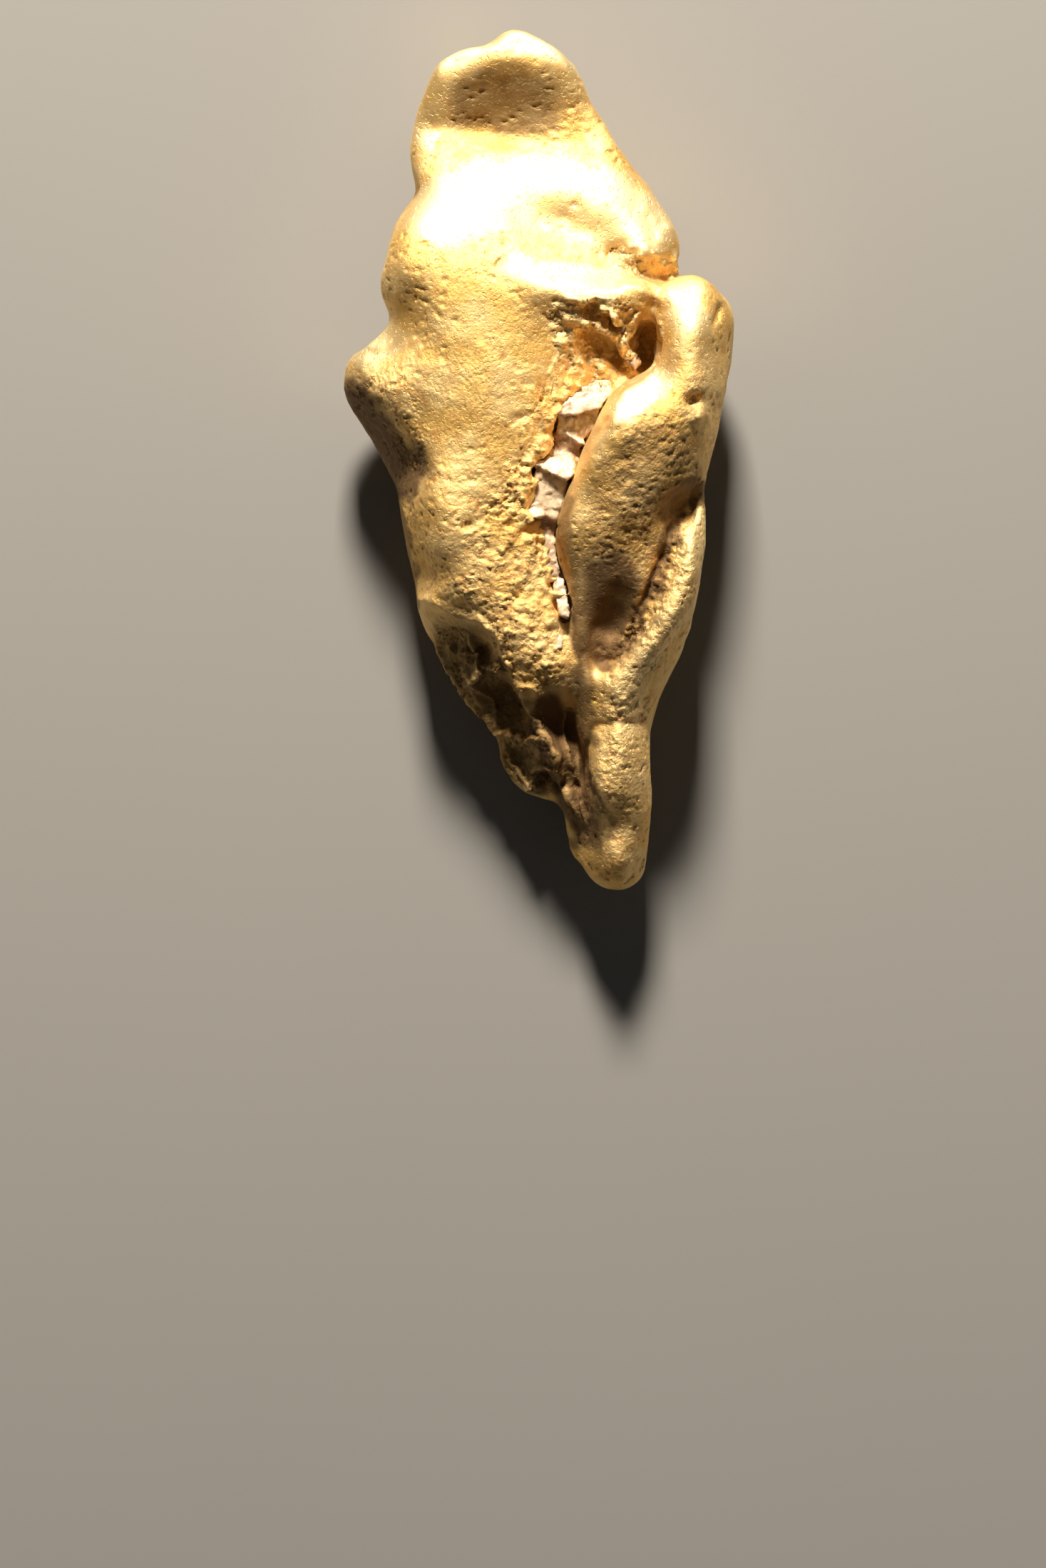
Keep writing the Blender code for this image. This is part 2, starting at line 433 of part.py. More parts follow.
def join(name, first, second):
    """One object that holds the meshes of two."""
    mesh = bmesh.new()
    mesh.from_mesh(first.data)
    mesh.from_mesh(second.data)
    joined = bpy.data.meshes.new(name)
    mesh.to_mesh(joined)
    mesh.free()
    bpy.data.objects.remove(first, do_unlink=True)
    bpy.data.objects.remove(second, do_unlink=True)
    return link(name, joined)


def boolean(obj, cutter, operation):
    """Join, cut or keep what is shared, with the exact solver."""
    modifier = obj.modifiers.new(operation.title(), "BOOLEAN")
    modifier.operation = operation
    modifier.solver = "EXACT"
    modifier.object = cutter
    return bake(obj)


def material(name, colour, roughness, metallic):
    """A Principled material."""
    mat = bpy.data.materials.new(name)
    mat.use_nodes = True
    shader = mat.node_tree.nodes["Principled BSDF"]
    shader.inputs["Base Color"].default_value = (*colour, 1.0)
    shader.inputs["Roughness"].default_value = roughness
    shader.inputs["Metallic"].default_value = metallic
    mat.diffuse_color = (*colour, 1.0)
    return mat


# ---------------------------------------------------------------- pieces
def add_lumps(obj):
    """Give the back and the sides the low lumps of a nugget worn in a stream."""
    mesh = obj.data
    points = coordinates(mesh)
    normals = np.array([vertex.normal[:] for vertex in mesh.vertices])
    faces_back = np.clip(LUMP_REACH - normals[:, 2], 0.0, 1.0)
    lumps = np.array([noise.fractal(Vector(point / LUMP_SIZE), LUMP_ROUGHNESS, LUMP_FINENESS,
                                    LUMP_LAYERS) for point in points])
    points += normals * (LUMP * lumps * faces_back)[:, None]
    set_coordinates(mesh, points)


def wear_resting_face(obj):
    """Cut the lowest part of the back to one flat face."""
    mesh = bmesh.new()
    mesh.from_mesh(obj.data)
    lowest = min(vertex.co.z for vertex in mesh.verts)
    height = lowest + REST_CUT * MM
    everything = mesh.verts[:] + mesh.edges[:] + mesh.faces[:]
    cut = bmesh.ops.bisect_plane(mesh, geom=everything, dist=CUT_MARGIN, plane_co=(0, 0, height),
                                 plane_no=(0, 0, 1), clear_inner=True)
    rim = [item for item in cut["geom_cut"] if isinstance(item, bmesh.types.BMEdge)]
    bmesh.ops.edgeloop_fill(mesh, edges=rim)
    bmesh.ops.recalc_face_normals(mesh, faces=mesh.faces)
    bmesh.ops.triangulate(mesh, faces=mesh.faces)
    mesh.to_mesh(obj.data)
    mesh.free()
    return obj


def make_gold():
    """The gold: the body with its head, and the thick fold with the tail, grown into one."""
    body = slab("body", BODY_OUTLINE, BODY_FRONT, BODY_STROKES)
    fold = slab("fold", FOLD_OUTLINE, FOLD_FRONT, FOLD_STROKES)
    gold = remesh(join("nugget", body, fold), BODY_VOXEL)
    soften = gold.modifiers.new("Soften", "SMOOTH")
    soften.factor = SOFTEN_SHARE
    soften.iterations = SOFTEN_TIMES
    gold = bake(gold)
    add_lumps(gold)
    front = gold.vertex_groups.new(name="front")
    for vertex in gold.data.vertices:
        share = SIDE_SHARE + (1.0 - SIDE_SHARE) * vertex.normal.z
        front.add([vertex.index], max(0.0, share), "REPLACE")
    thin = gold.modifiers.new("Fewer faces", "DECIMATE")
    thin.ratio = GOLD_TRIANGLES / (2.0 * len(gold.data.polygons))
    thin.vertex_group = front.name
    thin.vertex_group_factor = BACK_THINNING
    thin.invert_vertex_group = True
    return wear_resting_face(bake(gold))


def vein_prism(name, shrink, floor):
    """An upright prism of the vein's outline, from the floor to well above the nugget."""
    mesh = bmesh.new()
    corners = [mesh.verts.new((x * MM, y * MM, floor * MM)) for x, y in VEIN_OUTLINE]
    base = mesh.faces.new(corners)
    base.normal_update()
    if base.normal.z < 0.0:
        base.normal_flip()
    if shrink:
        bmesh.ops.inset_region(mesh, faces=[base], thickness=shrink * MM, use_even_offset=True)
        rim = [face for face in mesh.faces if face is not base]
        bmesh.ops.delete(mesh, geom=rim, context="FACES")
    raised = bmesh.ops.extrude_face_region(mesh, geom=[base])
    top = [item for item in raised["geom"] if isinstance(item, bmesh.types.BMVert)]
    bmesh.ops.translate(mesh, vec=(0, 0, (VEIN_TOP - floor) * MM), verts=top)
    bmesh.ops.recalc_face_normals(mesh, faces=mesh.faces)
    bmesh.ops.triangulate(mesh, faces=mesh.faces)
    data = bpy.data.meshes.new(name)
    mesh.to_mesh(data)
    mesh.free()
    return link(name, data)


def quartz_plate(index, top, size, turn, tilt_along, tilt_across):
    """One flat-topped block of quartz, leaning as it grew."""
    mesh = bmesh.new()
    bmesh.ops.create_cube(mesh, size=1.0)
    bmesh.ops.scale(mesh, vec=(size[0] * MM, size[1] * MM, PLATE_DEPTH * MM), verts=mesh.verts)
    bmesh.ops.translate(mesh, vec=(0, 0, -PLATE_DEPTH * MM / 2.0), verts=mesh.verts)
    lean = (Matrix.Rotation(math.radians(turn), 4, "Z")
            @ Matrix.Rotation(math.radians(tilt_along), 4, "X")
            @ Matrix.Rotation(math.radians(tilt_across), 4, "Y"))
    place = Matrix.Translation(Vector(top) * MM)
    bmesh.ops.transform(mesh, matrix=place @ lean, verts=mesh.verts)
    data = bpy.data.meshes.new("plate")
    mesh.to_mesh(data)
    mesh.free()
    return link("plate %d" % index, data)


def make_quartz():
    """The vein: leaning plates, stepped like shingles, inside the pocket's outline."""
    vein = None
    for index, plate in enumerate(QUARTZ_PLATES):
        block = quartz_plate(index, *plate)
        if vein is None:
            vein = block
            continue
        vein = boolean(vein, block, "UNION")
        bpy.data.objects.remove(block, do_unlink=True)
    limit = vein_prism("vein limit", VEIN_GAP, VEIN_FLOOR + VEIN_GAP)
    vein = boolean(vein, limit, "INTERSECT")
    bpy.data.objects.remove(limit, do_unlink=True)
    vein.name = "quartz_vein"
    return vein


def cut_pocket(gold):
    """Cut the vein's pocket into the gold."""
    pocket = vein_prism("vein pocket", 0.0, VEIN_FLOOR)
    gold = boolean(gold, pocket, "DIFFERENCE")
    bpy.data.objects.remove(pocket, do_unlink=True)
    return gold


def settle(objects):
    """Bring the first object's length to size, and the middle of its underside to the origin."""
    points = coordinates(objects[0].data) * MM
    low, high = points.min(axis=0), points.max(axis=0)
    grow = NUGGET_LENGTH / (high[1] - low[1])
    middle = Vector(((low[0] + high[0]) / 2.0, (low[1] + high[1]) / 2.0, low[2]))
    for obj in objects:
        obj.data.transform(Matrix.Scale(grow, 4) @ Matrix.Translation(-middle))
        obj.data.update()


def main():
    """Model the nugget."""
    clear_scene()
    gold = cut_pocket(make_gold())
    gold.name = "nugget"
    quartz = make_quartz()
    settle([gold, quartz])
    gold.data.materials.clear()
    gold.data.materials.append(material("gold", (0.80, 0.52, 0.17), 0.38, 1.0))
    quartz.data.materials.clear()
    quartz.data.materials.append(material("quartz", (0.80, 0.74, 0.71), 0.35, 0.0))
    for polygon in gold.data.polygons:
        polygon.use_smooth = True


main()
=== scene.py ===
import math

import bmesh
import bpy
import numpy as np
from mathutils import Euler, Matrix, Vector, noise


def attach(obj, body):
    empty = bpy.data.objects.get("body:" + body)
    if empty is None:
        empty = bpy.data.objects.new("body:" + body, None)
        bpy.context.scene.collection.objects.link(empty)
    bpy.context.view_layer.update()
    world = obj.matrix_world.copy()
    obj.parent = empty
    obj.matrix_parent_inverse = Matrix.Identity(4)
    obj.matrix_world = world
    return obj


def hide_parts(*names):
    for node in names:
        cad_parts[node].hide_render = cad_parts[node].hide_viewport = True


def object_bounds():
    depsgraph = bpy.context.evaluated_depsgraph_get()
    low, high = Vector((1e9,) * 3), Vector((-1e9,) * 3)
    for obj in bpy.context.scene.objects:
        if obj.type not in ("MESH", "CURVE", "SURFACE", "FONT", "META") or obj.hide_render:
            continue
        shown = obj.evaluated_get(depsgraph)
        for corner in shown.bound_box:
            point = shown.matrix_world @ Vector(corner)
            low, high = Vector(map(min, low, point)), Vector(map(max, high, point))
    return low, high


bl_info = {
    "name": "Gold nugget",
    "version": (1, 0, 0),
    "blender": (4, 5, 0),
    "location": "3D View > Sidebar > Nugget",
    "description": "Makes a worn gold nugget with a seam of quartz, ready for a studio picture",
    "category": "Add Mesh",
}

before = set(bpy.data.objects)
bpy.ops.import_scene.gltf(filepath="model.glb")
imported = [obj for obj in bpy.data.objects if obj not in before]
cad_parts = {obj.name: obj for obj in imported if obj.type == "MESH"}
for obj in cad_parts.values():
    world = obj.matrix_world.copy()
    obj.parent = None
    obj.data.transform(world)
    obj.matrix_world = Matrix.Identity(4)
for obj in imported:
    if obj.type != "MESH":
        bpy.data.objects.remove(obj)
CAD_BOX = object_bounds()

MM = 0.001
STRAIGHT_UP = np.array([0.0, 0.0, 1.0])

# The meshes: sizes in m, and how many times the gold is smoothed after each remesh.
CARVING_VOXEL = 0.0004
QUARTZ_VOXEL = 0.00022
GOLD_TRIANGLES = 192000
GOLD_SMOOTHING = 6
SAME_PLACE = 1e-6
# How strongly the faces that look down keep from being thinned out, and how strongly that counts.
BACK_WEIGHT = 0.12
THINNING_FACTOR = 0.01

# What share of its height a stroke keeps at its ends, and over how many half widths it fades there.
END_HEIGHT = 0.3
END_FADE = 1.5
# How far strokes and zones stray from their courses, in mm.
STROKE_WANDER = 0.45
ZONE_WANDER = 1.2
# What share of its half width a zone's soft edge takes.
ZONE_EDGE = 0.5
# How far up a surface faces, from 0 to 1, where it counts as the front in full.
FULLY_FRONT = 0.35
# Keeps a path of no length from dividing by zero.
TINY = 1e-12

# Noise: the seed that makes its bends come out the same each run, the steps between its layers, and
# the steps between the numbers drawn for neighbouring cells.
NOISE_SEED = 3
NOISE_STEPS = (17.3, 5.1, 9.7)
CRUMB_STEPS = (3.7, 11.9, 7.1)
CELL_HEIGHT_STEP = 7.7
CELL_TURN_STEP = 5.3
CELL_TURNS = 9.0

# The gold's relief: heights in mm, then heights as shares of the grain depth.
DENT_HEIGHT = 0.11
SWELLING_HEIGHT = 0.14
LUMP_SHARE = 2.1
GRAIN_SHARE = 0.8
FINE_SHARE = 0.25
PIT_SHARE = 1.2
LUMP_PIT_SHARE = 0.7
# The shares of the relief and of the pits that wear takes away, and of the fine grain that stays.
WEAR = 0.8
PIT_WEAR = 0.9
FINE_LEFT = 0.15
# The relief's strength varies in patches: its middle, its swing, and its least and most.
PATCH_MIDDLE, PATCH_SWING, PATCH_LIMITS = 0.75, 0.9, (0.15, 1.3)
# How rough the grainy and the plain gold count, where the crumpled gold counts as 1.
GRANULAR_ROUGH, PLAIN_ROUGH = 0.8, 0.35

# Random marks: their seeds, and the ranges that they are drawn from. A crumb's sizes are shares of
# its row's size, lengths and heights are in mm, and turns are in radians.
CRUMB_SEED = 5
CRUMB_SIZES = (0.5, 1.1)
CRUMB_STRETCH = ((0.8, 0.6, 0.4), (1.2, 0.9, 0.7))
CRUMB_TURN = ((-0.5, -0.5, -1.0), (0.7, 0.5, 1.0))
CRUMB_RISE = 0.05
SCRATCH_SEED = 11
SCRATCH_TURN = (-0.6, 1.3)
SCRATCH_LENGTH = (0.3, 1.2)
SCRATCH_HEIGHT = (-0.20, 0.12)
SCRATCH_HALF_WIDTH = 0.36
SCRATCH_REACH = 1.2

# Hollow and proud places: times the level is smoothed, and the depth in mm that counts as full.
FINE_LEVEL, FINE_DEPTH = 12, 0.13
BROAD_LEVEL, BROAD_DEPTH = 160, 0.8
QUARTZ_LEVEL, QUARTZ_DEPTH, QUARTZ_START = 60, 0.35, 0.15
# How much the two depths count, and how much the pale zones of painted light take from the hollows'
# staining and painted shade and add to the painted highlight.
FINE_COUNTS, BROAD_COUNTS = 0.42, 0.3
PALE_LIGHTENS_HOLLOWS, PALE_ADDS_HIGHLIGHT = 0.5, 0.7
# How strong the painted highlight is on a slope that faces sideways, and how fast it grows where
# the slope turns towards the head, the side where the lamp stands.
SIDEWAYS_HIGHLIGHT, LAMPWARD_HIGHLIGHT = 0.2, 2.2

# The quartz: sizes in mm.
SEAM_SWELLING = 0.3
SEAM_SINKING = 1.0
SEAM_FOOT = 1.5
PLATE_DEPTH = 3.6
PLATE_BEVEL = 0.18
FACET_SIZE, FACET_HEIGHT = 1.1, 0.24
STEP_SIZE, STEP_HEIGHT = 0.5, 0.05

# The materials: how rough they are, how deep their fine relief is in mm, and for the quartz how it
# bends light and lets it in: how much, how far in mm, and how far by colour.
GOLD_ROUGHNESS, GOLD_RELIEF = 0.56, 0.16
QUARTZ_ROUGHNESS, QUARTZ_RELIEF = 0.25, 0.05
QUARTZ_IOR = 1.54
QUARTZ_GLOW, QUARTZ_GLOW_REACH, QUARTZ_GLOW_TINT = 0.25, 1.2, (1.0, 0.8, 0.6)
FLOOR_ROUGHNESS, FLOOR_SHADE = 0.75, 0.97

# The studio, in metres and watts, and in mm for the lens. The camera looks straight down, and has
# the nugget in the upper part of its view.
FLOOR_RADIUS = 4.0
KEY_PLACE = Vector((-0.03, 0.665, 0.48))
KEY_SIZE = 0.14
KEY_POWER = 17.0
KEY_COLOUR = (1.0, 0.90, 0.75)
ROOM_COLOUR = (1.0, 0.95, 0.88, 1.0)
ROOM_STRENGTH = 0.05
CAMERA_HEIGHT = 0.8315
CAMERA_PLACE = (-0.0020, -0.0414, CAMERA_HEIGHT + CAD_BOX[1].z / 2)
LENS_LENGTH = 150.0
SENSOR_WIDTH = 36.0
CLIP_START = 0.01

# Places on the front are given in mm from the middle of the nugget: right, then towards the head.
# Each stroke is (name, section, half width in mm, height in mm, points). A minus height cuts in.
BROAD_STROKES = [
    ("dip in the belt", "bowl", 1.8, -0.5, [(-10.6, 39.4), (-9.6, 38.2)]),
    ("golden dip", "ridge", 5.4, -0.8, [(-0.6, 31.2), (3.0, 29.4), (7.0, 28.0)]),
    ("foot of the right shoulder", "ridge", 1.8, 1.1, [(10.6, 24.8), (14.0, 24.2), (17.4, 23.8)]),
    ("saddle to the fold", "ridge", 2.4, 2.8, [(11.4, 20.6), (13.6, 20.4), (15.8, 20.4)]),
    ("inner side of the bright slope", "ridge", 2.4, -0.8,
     [(11.4, 7.8), (9.0, 5.8), (7.2, 3.4), (6.0, 0.8)]),
    ("left side of the cave", "ridge", 1.8, 1.0, [(3.6, 17.0), (5.6, 16.8), (7.8, 16.6)]),
    ("low end of the hollow", "ridge", 3.4, -1.7, [(10.2, -18.4), (9.0, -22.0), (8.0, -25.4)]),
]
# These are raised straight up, and the others along the surface's own direction.
RIM_STROKES = [
    ("rim of the knob", "ridge", 4.0, 2.8,
     [(-23.6, 9.4), (-23.4, 12.0), (-21.8, 14.8), (-19.6, 16.8), (-18.6, 18.6)]),
    ("edge of the right shoulder", "ridge", 4.8, 2.8, [(16.4, 32.4), (18.2, 29.4), (18.8, 26.4)]),
    ("lip of the right shoulder", "ridge", 1.5, 1.1, [(11.4, 26.0), (14.0, 25.6), (17.4, 25.3)]),
    ("rim of the bright slope", "ridge", 1.7, 1.8,
     [(11.4, 10.0), (9.6, 8.0), (8.4, 6.4), (7.2, 4.4)]),
    ("crest of the bright slope", "ridge", 2.8, 0.7,
     [(12.5, 4.4), (10.4, 2.2), (9.2, -0.2), (8.4, -2.6)]),
    ("crest of the head's rim", "ridge", 3.2, 0.5,
     [(-12.6, 45.6), (-10.8, 48.0), (-6.0, 50.0), (-2.3, 50.8), (1.7, 49.5), (3.8, 47.2)]),
    ("roof of the cave", "ridge", 1.5, 1.6, [(11.2, 18.8), (13.0, 18.4), (14.4, 17.6)]),
]
CAVE_STROKES = [
    ("upper slot", "groove", 0.8, -1.4, [(5.2, 18.0), (6.8, 18.0), (7.8, 17.2)]),
    ("wedge between the blades", "groove", 0.8, -1.5, [(8.2, 17.4), (9.2, 16.6), (10.5, 15.4)]),
    ("long slot", "groove", 1.0, -2.0, [(5.3, 15.4), (7.6, 14.4), (9.4, 12.8), (10.8, 11.4)]),
    ("deep pocket", "bowl", 1.4, -2.8, [(13.2, 16.2), (14.0, 15.2), (13.8, 12.8), (12.2, 10.6)]),
    ("upper blade", "ridge", 0.6, 1.3, [(8.6, 18.4), (9.6, 17.2), (10.6, 16.2)]),
    ("middle blade", "ridge", 0.7, 1.6, [(7.2, 16.2), (8.8, 15.6), (10.8, 14.4)]),
    ("lower blade", "ridge", 0.6, 1.4, [(10.4, 14.0), (11.6, 12.8), (12.6, 11.2)]),
    ("thin arch", "ridge", 0.6, 1.6, [(12.6, 17.8), (11.2, 16.4), (11.0, 14.8)]),
]
FLANK_STROKES = [
    ("scoop under the plate", "bowl", 1.8, -1.1, [(-7.4, -24.9)]),
    ("long scoop", "bowl", 1.7, -1.3, [(-6.0, -27.6), (-4.0, -30.7), (-2.2, -33.7)]),
    ("wide scoop", "bowl", 2.1, -0.9, [(-2.3, -38.0)]),
    ("small dark scoop", "bowl", 1.1, -1.0, [(0.7, -40.9)]),
    ("dark notch", "groove", 0.8, -1.0, [(2.4, -41.0), (3.1, -42.2)]),
    ("trough's dark end", "bowl", 1.0, -0.4, [(4.0, -36.0)]),
    ("nib", "ridge", 0.8, 0.6, [(-1.3, -41.9)]),
]
WEB_STROKES = [
    ("lit plate's lower lip", "blade", 0.9, 0.6,
     [(-15.5, -17.6), (-11.4, -19.1), (-5.5, -21.9), (-4.5, -24.6), (-2.5, -28.3), (1.1, -30.2)]),
    ("main web", "blade", 0.6, 0.8,
     [(-2.5, -28.3), (0.0, -33.8), (2.1, -37.9), (2.6, -40.4), (4.4, -44.0), (5.6, -46.0)]),
    ("side web", "blade", 0.7, 1.2, [(-8.8, -22.6), (-7.6, -25.6), (-8.6, -28.6)]),
    ("side web", "blade", 0.6, 0.8, [(-11.6, -23.4), (-10.0, -24.6), (-8.0, -25.0)]),
    ("side web", "blade", 0.7, 1.0, [(-5.2, -34.4), (-2.6, -35.4), (0.6, -35.8)]),
    ("side web", "blade", 0.6, 0.8, [(-1.2, -39.9), (0.2, -39.2), (2.0, -39.4)]),
    ("side web", "blade", 0.6, 0.8, [(-4.2, -36.0), (-3.4, -38.6), (-1.4, -41.4)]),
    ("side web", "blade", 0.6, 0.7, [(-9.6, -26.6), (-8.6, -28.6), (-6.2, -30.6), (-5.4, -32.8)]),
    ("rim of the scoop", "blade", 0.6, 1.0,
     [(-8.2, -28.3), (-7.1, -26.8), (-5.5, -26.2), (-4.2, -27.4)]),
    ("rim of the flank", "blade", 0.9, 0.9,
     [(-13.2, -23.4), (-9.2, -29.8), (-5.1, -34.3), (-3.5, -35.3)]),
    ("web in the trough", "blade", 0.7, 0.5, [(3.4, -31.6), (3.2, -36.0), (4.6, -40.0)]),
    ("web in the trough", "blade", 0.6, 0.4, [(5.0, -38.0), (5.4, -43.0), (6.6, -47.0)]),
    ("thin arch of the cave", "blade", 0.7, 0.8, [(12.8, 18.2), (11.2, 16.4), (11.0, 14.4)]),
    ("edge of the cave", "blade", 0.7, 0.5, [(4.0, 19.6), (7.0, 19.6), (10.0, 19.8)]),
]
FOLD_STROKES = [
    ("thin dark lip", "groove", 0.5, -0.25, [(3.0, -5.6), (2.4, -8.1), (2.5, -11.2), (3.8, -15.4)]),
    ("crescent scar", "groove", 0.6, -0.5,
     [(23.6, 19.0), (22.8, 18.2), (22.3, 16.8), (22.1, 15.3)]),
    ("pit", "bowl", 1.0, -0.8, [(19.6, 6.9)]),
    ("lip of the pit", "ridge", 0.8, 0.5, [(18.8, 5.2), (19.8, 4.6), (20.8, 5.2)]),
    ("pocket in the crease", "bowl", 1.7, -0.8, [(19.6, -4.6), (17.8, -6.4), (16.4, -8.2)]),
    ("crease", "groove", 0.7, -0.6,
     [(20.2, -4.0), (18.9, -7.7), (17.1, -9.1), (16.1, -12.1), (14.7, -15.6), (13.3, -18.5),
      (10.3, -24.8), (7.5, -25.7)]),
    ("edge of the tail", "groove", 0.5, -0.4,
     [(7.4, -33.9), (6.2, -36.4), (6.2, -41.5), (7.6, -43.0), (9.2, -45.3), (9.7, -47.3)]),
    ("neck crease", "groove", 0.5, -0.3, [(7.0, -33.9), (10.0, -33.5), (14.1, -33.9)]),
    ("pits in the tip", "groove", 0.4, -0.35, [(9.4, -53.2), (11.0, -53.3)]),
    ("pits in the tip", "bowl", 0.5, -0.3, [(12.2, -51.7)]),
]
PIT_STROKES = [
    ("pits of the golden dip", "bowl", 0.7, -0.45, [(2.7, 30.4), (3.4, 30.0)]),
    ("pits of the golden dip", "bowl", 0.6, -0.35, [(4.6, 31.8)]),
    ("pits of the golden dip", "bowl", 0.6, -0.35, [(3.5, 27.3)]),
    ("pits of the golden dip", "bowl", 0.6, -0.40, [(7.4, 25.6)]),
    ("pit below the belt", "bowl", 0.8, -0.55, [(-4.2, 26.9)]),
    ("pit by the belt", "bowl", 0.7, -0.5, [(-4.9, 23.9)]),
    ("pit by the belt", "bowl", 0.6, -0.4, [(8.9, 25.6)]),
    ("pit", "bowl", 0.7, -0.5, [(2.3, 19.4)]),
    ("pits of the patch", "bowl", 1.1, -0.9, [(-3.9, -5.9), (-5.2, -6.4)]),
    ("pits of the patch", "bowl", 1.0, -0.8, [(-6.6, -7.4), (-7.8, -7.0)]),
    ("pits of the patch", "bowl", 0.8, -0.7, [(-8.9, -8.8)]),
    ("pits of the patch", "bowl", 0.8, -0.6, [(-3.6, -8.6)]),
    ("gash beside the seam", "groove", 0.8, -0.8, [(-2.6, -10.2), (-1.4, -9.6), (0.2, -9.8)]),
    ("gash beside the seam", "groove", 0.6, -0.6, [(-2.2, -1.8), (-0.9, -1.4)]),
    ("gash beside the seam", "groove", 0.6, -0.6, [(-2.9, 4.4), (-1.6, 4.8)]),
]

# Plates of the quartz: (name, height of its middle in mm, degrees that it leans towards the head,
# degrees that it leans to the right, corners in mm).
PLATES = [
    ("white top", 21.0, 25, 0,
     [(1.9, 5.3), (3.3, 7.4), (5.4, 9.0), (8.8, 9.6), (9.4, 8.0), (7.6, 6.0), (5.0, 5.2),
      (2.9, 5.0)]),
    ("grey top", 20.3, -18, 6,
     [(2.4, 5.2), (4.5, 5.9), (7.6, 6.2), (7.2, 3.6), (5.2, 2.0), (2.4, 2.8)]),
    ("thin bright edge", 20.5, 38, 8, [(2.7, 3.4), (2.8, 4.0), (5.4, 2.4), (5.9, 1.4), (5.0, 1.5)]),
    ("brown wedge", 19.2, -16, 0, [(1.7, 3.0), (4.9, 2.2), (5.2, -0.8), (2.4, 0.6)]),
    ("white wedge", 21.2, 30, 0, [(-0.9, -1.1), (2.2, 0.2), (4.4, 0.4), (4.6, -2.2), (3.6, -3.2)]),
    ("grey slab", 20.2, -6, 4, [(-0.3, -1.6), (3.8, -3.0), (3.2, -6.4), (2.0, -8.2), (-1.5, -6.8)]),
    ("bright chip", 20.9, 32, 0, [(-1.9, -6.5), (0.5, -6.6), (0.9, -7.6), (-1.5, -8.0)]),
    ("brown hollow", 18.9, -8, 0, [(-1.8, -7.6), (2.4, -7.6), (2.0, -10.4), (-0.2, -10.6)]),
    ("low slab", 19.4, 8, 6, [(-1.0, -10.0), (2.0, -10.0), (2.6, -15.4), (-0.2, -15.0)]),
    ("edge plate", 20.2, 14, -8,
     [(1.9, -15.0), (3.2, -15.6), (3.9, -20.4), (2.6, -20.2), (2.0, -17.6)]),
    ("upper blade in the cave", 21.2, 30, 0,
     [(8.0, 18.9), (9.2, 19.0), (11.1, 16.7), (10.5, 15.7), (9.2, 17.0)]),
    ("lower blade in the cave", 20.8, 34, 0,
     [(6.8, 16.5), (8.2, 16.8), (11.0, 15.0), (11.0, 14.0), (9.0, 15.0)]),
    ("block in the cave", 20.4, 10, -10,
     [(10.4, 14.0), (11.5, 13.8), (12.9, 11.8), (12.1, 11.0), (10.9, 12.2)]),
    ("lowest patch", 20.0, 10, 0, [(0.9, -21.8), (2.9, -22.4), (3.0, -24.4), (1.1, -24.2)]),
]
# Rows of crumbs grown together with the gold: (name, size in mm, how many, spread in mm, points).
CRUMBS = [
    ("edge of the seam", 1.6, 70, 0.9,
     [(4.4, 9.0), (2.6, 6.6), (1.5, 4.2), (0.8, 1.4), (-0.8, -0.6), (-1.4, -3.4), (-2.2, -6.8)]),
    ("low end of the seam", 1.5, 80, 1.1,
     [(-1.4, -8.6), (-0.4, -11.0), (0.6, -14.0), (1.6, -17.4), (2.0, -21.6)]),
    ("below the cave", 1.5, 44, 1.3, [(3.0, 14.2), (5.8, 11.8), (9.2, 10.2)]),
    ("left side of the cave", 1.5, 44, 1.8, [(3.4, 18.0), (6.0, 17.2), (9.0, 16.4)]),
    ("lower body", 1.2, 80, 2.8, [(-5, -10), (-3, -16), (-1.4, -22), (0.4, -26)]),
    ("patch of pits", 1.4, 18, 1.2, [(-7.6, -7.6), (-3.6, -6.4)]),
    ("inner side of the ridge", 1.4, 110, 0.9,
     [(18.8, -6.6), (17.0, -10.4), (15.2, -15.6), (13.0, -20.2), (9.8, -25.2)]),
    ("notch valley", 1.3, 44, 1.0, [(10.8, 25.2), (13.4, 24.6), (17, 24.0)]),
    ("roof of the cave", 1.2, 30, 1.4, [(9.4, 19.0), (12.0, 17.8), (14.4, 16.4)]),
    ("flank", 1.1, 16, 2.4, [(-9.6, -25), (-5.4, -31), (-1, -38)]),
]

# Where the gold is crumpled, grainy, smoothed by wear with a painted highlight, tarnished with
# painted shade, or painted paler as light, and where the quartz is stained: (name, strength,
# half width in mm, points).
CRUMPLED = [
    ("lower body", 0.75, 5.2, [(-5.5, -11.5), (-3.8, -16), (-2.4, -22), (0, -26)]),
    ("lower body's edge", 0.6, 2.6, [(-12, -15.5), (-8, -19), (-4.5, -22)]),
    ("beside the seam", 1.0, 2.8,
     [(5, 12.6), (1.4, 7), (-0.6, 2), (-2.4, -4), (-1.8, -9), (-1, -14)]),
    ("round the cave", 1.0, 3.0, [(3.2, 17.0), (5.6, 12.8), (9.4, 10.4)]),
    ("inside the cave", 1.0, 3.4, [(6, 17), (9, 15), (12.6, 13)]),
    ("roof of the cave", 0.8, 2.0, [(10, 18.6), (14.6, 15.0)]),
    ("patch of pits", 0.9, 2.6, [(-8.6, -7.4), (-4, -5.8)]),
    ("notch valley", 0.9, 1.4, [(10, 25.2), (13, 24.2), (17, 23.6)]),
    ("inner side of the ridge", 0.9, 1.7,
     [(19.2, -8.2), (17.6, -11.4), (16.0, -15.6), (13.8, -20), (10.6, -25)]),
    ("flank", 0.8, 5.0, [(-10, -24.6), (-5.4, -31), (-1, -39)]),
    ("foot of the knob", 0.5, 2.6, [(-19.5, 9.5), (-17, 3), (-14, -2)]),
]
